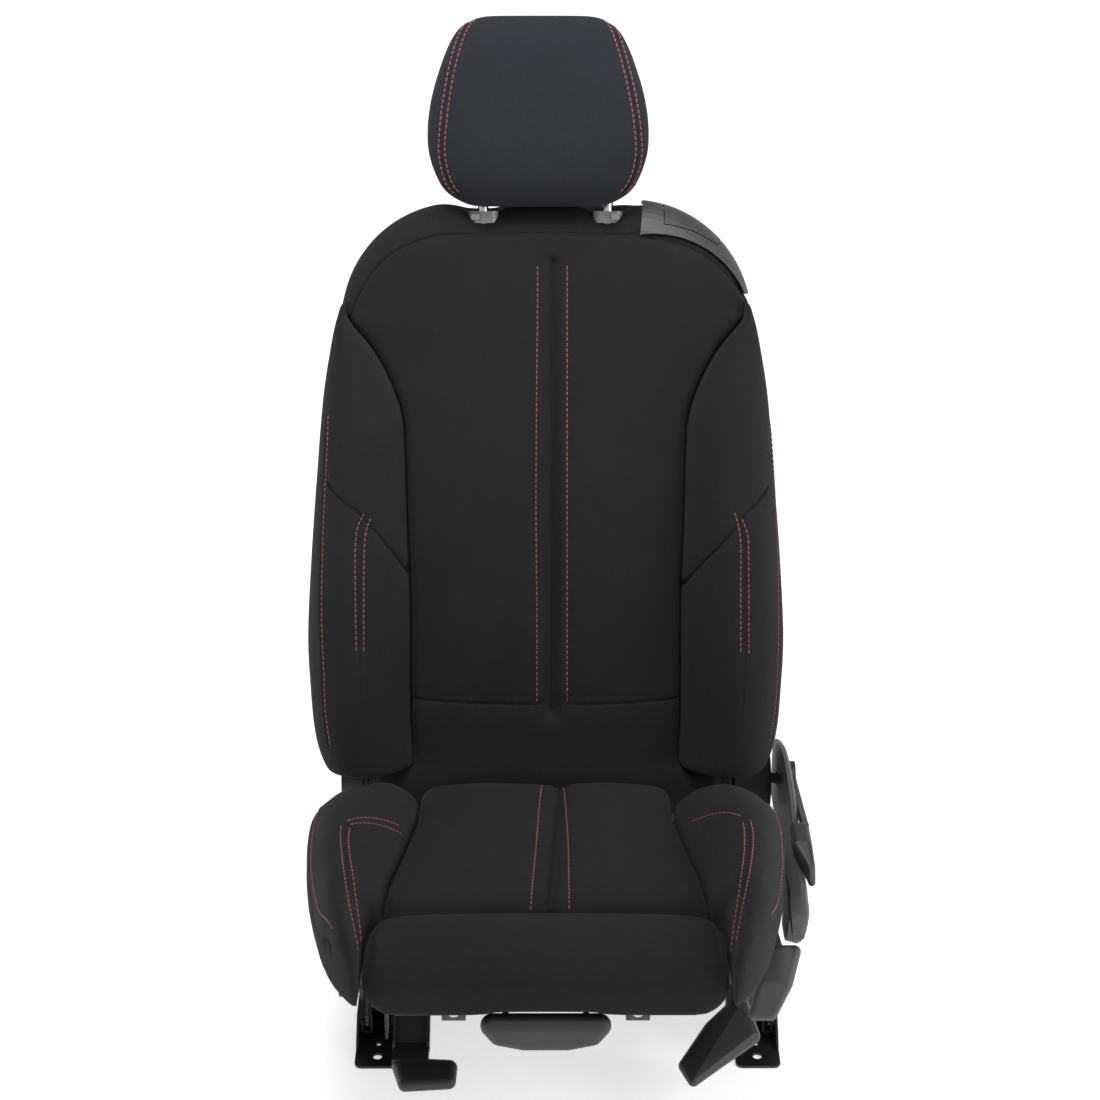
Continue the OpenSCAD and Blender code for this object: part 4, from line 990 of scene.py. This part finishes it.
for material, names in FINISH.items():
    for name in names:
        node = NODES[name]
        if not node.material_slots:
            node.data.materials.append(material)
        for slot in node.material_slots:
            slot.material = material

# ---------- floor, light and camera ----------


def pale(name, colour, rough):
    s = Shader(name, colour, rough, Specular_IOR_Level=0.2, Emission_Color=(1, 1, 1, 1))
    # the floor glows a little, so that it stays pale away from the lights
    far = s.vector("LENGTH", s.object, out="Value")
    s.tree.links.new(s.ramp(far, 0.7, 2.4, 0.6, 0.85), s.bsdf.inputs["Emission Strength"])
    s.colour(s.mix(s.ramp(s.noise(1.3, 3), 0.3, 0.7), tuple(c * 0.985 for c in colour), colour))
    s.rough(s.ramp(s.noise(30, 2), 0.3, 0.7, rough - 0.05, rough + 0.05))
    return s.mat


floor = new_object("floor", [(-30, -30, 0), (30, -30, 0), (30, 30, 0), (-30, 30, 0)], [[0, 1, 2, 3]])
floor.data.materials.append(pale("floor_white", (0.9, 0.9, 0.9), 0.8))

scene = bpy.context.scene
world = bpy.data.worlds.new("studio")
world.use_nodes = True
sky = world.node_tree
background = sky.nodes["Background"]
background.inputs["Color"].default_value = (1, 1, 1, 1)
# the sky is bright at the horizon and weaker overhead
split = sky.nodes.new("ShaderNodeSeparateXYZ")
fade = sky.nodes.new("ShaderNodeMapRange")
fade.inputs["From Min"].default_value, fade.inputs["From Max"].default_value = 0.1, 0.5
fade.inputs["To Min"].default_value, fade.inputs["To Max"].default_value = 0.9, 0.14
sky.links.new(sky.nodes.new("ShaderNodeTexCoord").outputs["Generated"], split.inputs[0])
sky.links.new(split.outputs["Z"], fade.inputs["Value"])
sky.links.new(fade.outputs["Result"], background.inputs["Strength"])
scene.world = world
scene.view_settings.view_transform = "Standard"


def softbox(name, at, target, width, height, watts):
    light = bpy.data.lights.new(name, "AREA")
    light.shape, light.size, light.size_y, light.energy = "RECTANGLE", width, height, watts
    obj = bpy.data.objects.new(name, light)
    scene.collection.objects.link(obj)
    obj.location = at
    obj.rotation_euler = (Vector(target) - Vector(at)).to_track_quat("-Z", "Y").to_euler()


sun = bpy.data.lights.new("daylight", "SUN")
sun.energy, sun.angle = 0.3, math.radians(75)
sun_object = bpy.data.objects.new("daylight", sun)
scene.collection.objects.link(sun_object)
sun_object.rotation_euler = Vector((-0.12, 0.62, -0.78)).to_track_quat("-Z", "Y").to_euler()
softbox("key", (-0.2, -0.5, 1.95), (0, 0.05, 0.7), 0.9, 0.7, 23)
softbox("top", (0.05, 0.15, 2.0), (0, 0.1, 0.8), 0.8, 0.6, 8)
softbox("rim", (1.9, -0.9, 1.3), (0.2, 0, 0.3), 0.9, 1.2, 22)

camera = bpy.data.cameras.new("camera")
camera.lens, camera.sensor_width = 78.45, 36.0
camera_object = bpy.data.objects.new("camera", camera)
scene.collection.objects.link(camera_object)
camera_object.location = (-0.0225, -2.36435, 1.7124)
camera_object.rotation_euler = (math.radians(90 - 26.64), 0, math.radians(-0.08))
scene.camera = camera_object
